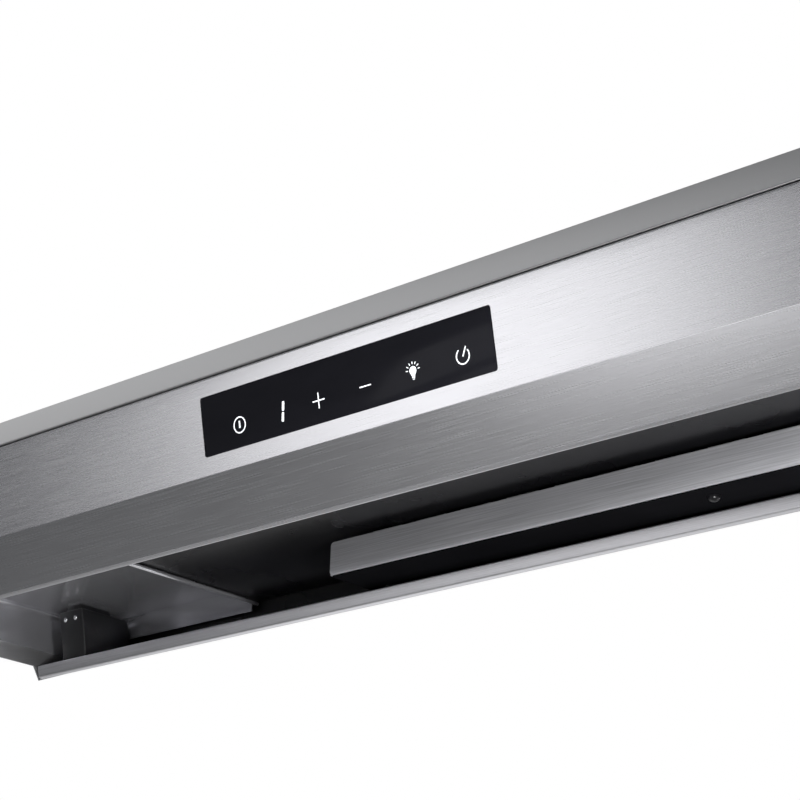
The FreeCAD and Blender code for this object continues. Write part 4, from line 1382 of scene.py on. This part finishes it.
@dataclass
class BaffleFilters:
    """Three baffle filters and the rails that carry them."""

    axes: HoodAxes
    shop: Workshop
    wide: float = 300 * MM
    long: float = 256 * MM
    thick: float = 12 * MM
    channel: float = 17 * MM
    upper: int = 9
    pitch: float = 302 * MM
    hinge: Point2 = (204 * MM, -145.5 * MM)

    def build(self) -> None:
        """Make the filters and dress the rails."""
        # The cross rail takes the near-black enamel: painted shade, for the dark behind the
        # trough under the hood.
        carry("cross_rail", Slot.ENAMEL)
        carry("rear_rail", Slot.BODY)
        for index, name in enumerate(("left", "centre", "right")):
            back, low = self.hinge
            place = (Matrix.Translation(((index - 1) * self.pitch, self.axes.front + back, low))
                     @ Matrix.Rotation(self.axes.filter_turn, 4, "X"))
            self.frame_of(name, place)
            self.rows_of(name, place)
            self.latch_of(name, place)

    def frame_of(self, name: str, place: Matrix) -> None:
        """The filter's folded frame.

        Args:
            name: the filter's name.
            place: the filter's place.
        """
        rim = 11 * MM
        half = self.wide / 2
        outer = slab("outer", (-half, 0, 0), (half, self.long, self.thick))
        window = [slab("window", (-half + rim, rim, -MM),
                       (half - rim, self.long - rim - 12 * MM, self.thick + MM))]
        made = rounded(carve(outer, window), 0.9 * MM, 3)
        made.name = f"frame_{name}"
        made.data.transform(place)
        settle(made, Slot.FILTER, f"filter_{name}", [f"filter_frame_{name}"])

    def channel_part(self, upwards: bool) -> bpy.types.Object:
        """One U channel about X = 0, from its floor, open upwards or downwards.

        Args:
            upwards: whether it opens upwards.

        Returns:
            The channel.
        """
        half, tall = self.channel / 2, 4.2 * MM
        path = fillet([(-half, tall, 0), (-half, 0, 1.6 * MM), (half, 0, 1.6 * MM),
                       (half, tall, 0)], 4)
        if not upwards:
            path = [(x, tall - z) for x, z in path[::-1]]
        return prism("channel", thickened(path, 0.8 * MM), 12 * MM, self.long - 24 * MM, "Y")

    def rows_of(self, name: str, place: Matrix) -> None:
        """Two staggered rows of channels, made by the row recipe.

        Args:
            name: the filter's name.
            place: the filter's place.
        """
        pitch = (self.wide - 22 * MM) / self.upper
        rows = []
        for upwards, count, floor in ((False, self.upper, 6.3 * MM),
                                      (True, self.upper - 1, 1.2 * MM)):
            part = self.channel_part(upwards)
            start = (-(count - 1) / 2 * pitch, 0.0, floor)
            rows.append(self.shop.row.make(
                "row", bpy.data.meshes.new("row"), Part=part, Count=count, Start=start,
                Step=(pitch, 0.0, 0.0), Finish=Slot.FILTER.material()))
            bpy.data.objects.remove(part)
        made = joined(f"baffles_{name}", rows)
        made.data.transform(place)
        settle(made, Slot.FILTER, f"filter_{name}", [f"filter_baffles_{name}"])

    def latch_of(self, name: str, place: Matrix) -> None:
        """The slide latch: a ribbed grip with a finger tab and a tongue.

        Args:
            name: the filter's name.
            place: the filter's place.
        """
        end = self.long
        parts = [slab("grip", (-22 * MM, end - 26 * MM, -1.9 * MM),
                      (22 * MM, end - 6 * MM, -0.4 * MM)),
                 slab("tab", (-22 * MM, end - 26 * MM, -4.4 * MM),
                      (22 * MM, end - 24.2 * MM, -1.5 * MM)),
                 slab("tongue", (-9 * MM, end - 8 * MM, -1.9 * MM),
                      (9 * MM, end + 4 * MM, -0.4 * MM))]
        parts = [rounded(part, 0.35 * MM) for part in parts]
        rib = rounded(slab("rib", (-18 * MM, 0, -2.6 * MM), (18 * MM, 0.9 * MM, -1.8 * MM)),
                      0.2 * MM)
        parts.append(self.shop.row.make(
            "ribs", bpy.data.meshes.new("ribs"), Part=rib, Count=5,
            Start=(0.0, end - 21 * MM, 0.0), Step=(0.0, 2.6 * MM, 0.0),
            Finish=Slot.MOULDED.material()))
        bpy.data.objects.remove(rib)
        made = joined(f"latch_{name}", parts)
        made.data.transform(place)
        settle(made, Slot.MOULDED, f"latch_{name}", [f"filter_latch_{name}"])


@dataclass
class AirPath:
    """Blower, rotor, duct collar and damper."""

    axes: HoodAxes
    shop: Workshop
    blades: int = 24

    def build(self) -> None:
        """Dress the housing and the flaps, and build the wheels and collar."""
        for name in ("blower_housing", "plenum_tray", "blower_inlet_left",
                     "blower_inlet_right", "motor_bracket"):
            carry(name, Slot.ZINC)
        carry("blower_motor", Slot.MOTOR)
        carry("run_capacitor", Slot.CASTING)
        carry("damper_pins", Slot.SCREW)
        carry("motor_shaft", Slot.SCREW)
        self.wheels()
        self.collar()
        for side in ("left", "right"):
            carry(f"damper_flap_{side}", Slot.ZINC)

    def wheels(self) -> None:
        """Two squirrel cage wheels, their blades curved, made by the wheel recipe."""
        for side in ("left", "right"):
            low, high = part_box(f"impeller_{side}")
            centre = (low + high) / 2
            outer = (high.z - low.z) / 2
            blade_line = []
            for step in range(6):
                share = step / 5
                blade_line.append((outer - 6.8 * MM + 6.4 * MM * share,
                                   1.9 * MM * math.sin(math.pi * share) - 1.2 * MM * share))
            part = prism("blade", thickened(blade_line, 0.5 * MM), low.x, high.x)
            blades = self.shop.wheel.make(
                "blades", bpy.data.meshes.new("blades"), Part=part, Count=self.blades,
                Centre=(0.0, centre.y, centre.z), Finish=Slot.ZINC.material())
            bpy.data.objects.remove(part)
            inward = low.x if side == "right" else high.x
            outward = high.x if side == "right" else low.x
            way = 1 if side == "right" else -1
            hub = lathe("hub", [(3.0 * MM, 0), (outer, 0), (outer, 1.4 * MM * way),
                                (3.0 * MM, 1.4 * MM * way)], "X", 64)
            rim = lathe("rim", [(outer - 7 * MM, 0), (outer, 0), (outer, -1.6 * MM * way),
                                (outer - 7 * MM, -1.6 * MM * way)], "X", 64)
            moved(hub, (inward, centre.y, centre.z))
            moved(rim, (outward, centre.y, centre.z))
            made = joined(f"wheel_{side}", [blades, hub, rim])
            settle(made, Slot.ZINC, "rotor", [f"impeller_{side}"])

    def collar(self) -> None:
        """The duct collar: a turned tube with a rolled bead and a flange."""
        low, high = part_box("duct_collar")
        centre = (low + high) / 2
        outer, top, flange = 75.0 * MM, high.z, (high.x - low.x) / 2
        inner, thick = outer - MM, 1.2 * MM
        section = fillet([(inner, 0.0, 0), (flange, 0.0, 0.3 * MM),
                          (flange, thick, 0.3 * MM), (outer, thick, 1.6 * MM),
                          (outer, top - 12 * MM, 2 * MM),
                          (outer + thick, top - 10 * MM, 1.5 * MM),
                          (outer, top - 8 * MM, 2 * MM), (outer, top, 0.3 * MM),
                          (inner, top, 0)], 4)
        made = moved(lathe("collar_tube", section, steps=128), (centre.x, centre.y, 0))
        settle(made, Slot.ZINC, "hood", ["duct_collar"])


@dataclass
class Wiring:
    """Junction box and cable bushing."""

    axes: HoodAxes

    def build(self) -> None:
        """Dress the box and make the bushing."""
        carry("junction_box", Slot.ZINC)
        carry("junction_cover", Slot.ZINC)
        low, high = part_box("cable_bushing")
        centre = (low + high) / 2
        section = fillet([(5.0 * MM, low.z, 0), (10.8 * MM, low.z, 0.5 * MM),
                          (10.8 * MM, 0.0, 0), (14.0 * MM, 0.0, 0.5 * MM),
                          (14.0 * MM, 1.4 * MM, 0.9 * MM), (6.5 * MM, high.z, 1.0 * MM),
                          (5.0 * MM, high.z - 1.0 * MM, 0)], 4)
        made = moved(lathe("bushing_ring", section, steps=64), (centre.x, centre.y, 0))
        settle(made, Slot.MOULDED, "hood", ["cable_bushing"])


# ------------------------------------------------------------------------- studio
@dataclass
class Studio:
    """Camera, lights, floor and surroundings."""

    axes: HoodAxes
    azimuth: float = 40.16
    elevation: float = 12.16
    roll: float = 6.6
    lens: float = 97.97
    stand: tuple[float, float, float] = (0.8026, -0.9, -0.2057)
    floor_half: float = 6.0
    floor_low: float = -1.4
    floor_glow: float = 0.5

    def build(self) -> None:
        """Set up the whole studio."""
        self.camera()
        self.floor()
        self.lights()
        self.surroundings()

    def camera(self) -> None:
        """A camera below and to the right of the control strip, looking up at it."""
        a, e, roll = (math.radians(v) for v in (self.azimuth, self.elevation, self.roll))
        ahead = Vector((-math.sin(a) * math.cos(e), math.cos(a) * math.cos(e), math.sin(e)))
        level = Vector((math.cos(a), math.sin(a), 0.0))
        over = level.cross(ahead)
        right = level * math.cos(roll) - over * math.sin(roll)
        above = right.cross(ahead)
        spot = Vector((0.0, self.axes.front, self.axes.lip)) + Vector(self.stand)
        data = bpy.data.cameras.new("camera")
        data.lens = self.lens
        data.sensor_width = 36.0
        data.clip_start = 0.05
        made = bpy.data.objects.new("camera", data)
        made.matrix_world = Matrix.Translation(spot) @ Matrix(
            (right, above, -ahead)).transposed().to_4x4()
        bpy.context.scene.collection.objects.link(made)
        bpy.context.scene.camera = made

    def floor(self) -> None:
        """A plain pale floor well under the hood, which can be looked through from below."""
        size, drop = self.floor_half, self.floor_low
        mesh = bpy.data.meshes.new("floor")
        mesh.from_pydata([(-size, -size, drop), (size, -size, drop), (size, size, drop),
                          (-size, size, drop)], [], [(0, 1, 2, 3)])
        made = new_object("floor", mesh)
        shader = Shader("floor").set(Base_Color=(0.8, 0.8, 0.79, 1.0), Roughness=0.8,
                                     Emission_Color=(1.0, 1.0, 0.99, 1.0))
        path = shader.node("LightPath")
        glow = shader.node("Math", operation="MULTIPLY")
        glow.inputs[1].default_value = self.floor_glow
        shader.link(path.outputs["Is Camera Ray"], glow.inputs[0])
        shader.link(glow.outputs[0], shader.surface.inputs["Emission Strength"])
        side = shader.node("NewGeometry")
        clear = shader.node("BsdfTransparent")
        mixer = shader.node("MixShader")
        shader.link(side.outputs["Backfacing"], mixer.inputs["Fac"])
        shader.link(shader.surface.outputs["BSDF"], mixer.inputs[1])
        shader.link(clear.outputs["BSDF"], mixer.inputs[2])
        shader.link(mixer.outputs["Shader"],
                    shader.tree.nodes["Material Output"].inputs["Surface"])
        mesh.materials.append(shader.material)

    def lamp(self, name: str, spot: Vector, target: Vector, size: tuple[float, float],
             power: float) -> None:
        """One rectangular softbox.

        Args:
            name: the lamp's name.
            spot: where it stands.
            target: what it points at.
            size: its width and height.
            power: its power in watts.
        """
        data = bpy.data.lights.new(name, "AREA")
        data.shape = "RECTANGLE"
        data.size, data.size_y = size
        data.energy = power
        made = bpy.data.objects.new(name, data)
        made.location = spot
        made.rotation_euler = (target - spot).to_track_quat("-Z", "Y").to_euler()
        made.visible_camera = False
        bpy.context.scene.collection.objects.link(made)

    def lights(self) -> None:
        """Softboxes: five shape the front and its bay, the others the remaining sides."""
        middle = Vector((0.0, self.axes.front, self.axes.lip / 2))
        self.lamp("key", middle + Vector((-1.72, -2.32, 0.66)), middle, (0.95, 1.1), 5.4)
        self.lamp("overhead", Vector((-1.95, 0.18, 1.65)), Vector((-0.1, -0.2, 0.0)),
                  (1.3, 2.8), 8.0)
        self.lamp("low", Vector((-0.95, -2.14, -0.55)), Vector((0.2, self.axes.front, -0.12)),
                  (0.5, 0.8), 2.1)
        self.lamp("under", Vector((-0.9, 0.3, -1.1)), Vector((-0.4, -0.1, -0.1)),
                  (0.9, 0.9), 1.5)
        self.lamp("near", Vector((0.52, -0.52, -0.34)), Vector((0.3, -0.12, -0.14)),
                  (0.12, 0.12), 4.0)
        self.lamp("top", Vector((0.5, 1.0, 2.4)), Vector((0.0, 0.1, 0.0)), (1.6, 1.6), 22.0)
        self.lamp("back", Vector((0.9, 2.6, 0.5)), Vector((0.0, 0.24, -0.05)), (1.2, 1.2), 16.0)
        self.lamp("belly", Vector((0.5, 1.0, -1.2)), Vector((0.0, 0.1, -0.13)), (0.8, 0.8), 5.0)
        self.lamp("left", Vector((-2.4, 0.7, 0.3)), Vector((-0.46, 0.0, -0.08)), (1.0, 1.0), 9.0)
        self.lamp("side", Vector((0.9, -1.3, -0.85)), Vector((-0.45, -0.12, -0.12)),
                  (0.4, 0.4), 5.0)

    def surroundings(self) -> None:
        """White behind the hood, and a dimmer grey in what the steel reflects."""
        world = bpy.data.worlds.new("surroundings")
        bpy.context.scene.world = world
        world.use_nodes = True
        tree = world.node_tree
        tree.nodes.clear()
        result = tree.nodes.new("ShaderNodeOutputWorld")
        mixer = tree.nodes.new("ShaderNodeMixShader")
        seen = tree.nodes.new("ShaderNodeBackground")
        round_about = tree.nodes.new("ShaderNodeBackground")
        path = tree.nodes.new("ShaderNodeLightPath")
        seen.inputs["Color"].default_value = (1.0, 1.0, 1.0, 1.0)
        round_about.inputs["Color"].default_value = (0.8, 0.82, 0.84, 1.0)
        round_about.inputs["Strength"].default_value = 0.14
        tree.links.new(path.outputs["Is Camera Ray"], mixer.inputs["Fac"])
        tree.links.new(round_about.outputs[0], mixer.inputs[1])
        tree.links.new(seen.outputs[0], mixer.inputs[2])
        tree.links.new(mixer.outputs[0], result.inputs["Surface"])
        bpy.context.scene.view_settings.view_transform = "Standard"


def main() -> None:
    """Build the hood's looks, in order."""
    logging.basicConfig(level=logging.INFO, format="%(name)s: %(message)s")
    axes = HoodAxes.read()
    shop = Workshop.open()
    for assembly in (OuterBody(axes, shop), ControlStrip(axes), FrontUnderside(axes, shop),
                     GreaseTrough(axes), BaffleFilters(axes, shop), AirPath(axes, shop),
                     Wiring(axes), Studio(axes)):
        assembly.build()
        LOG.info("%s done", type(assembly).__name__)


if __name__ == "__main__":
    main()
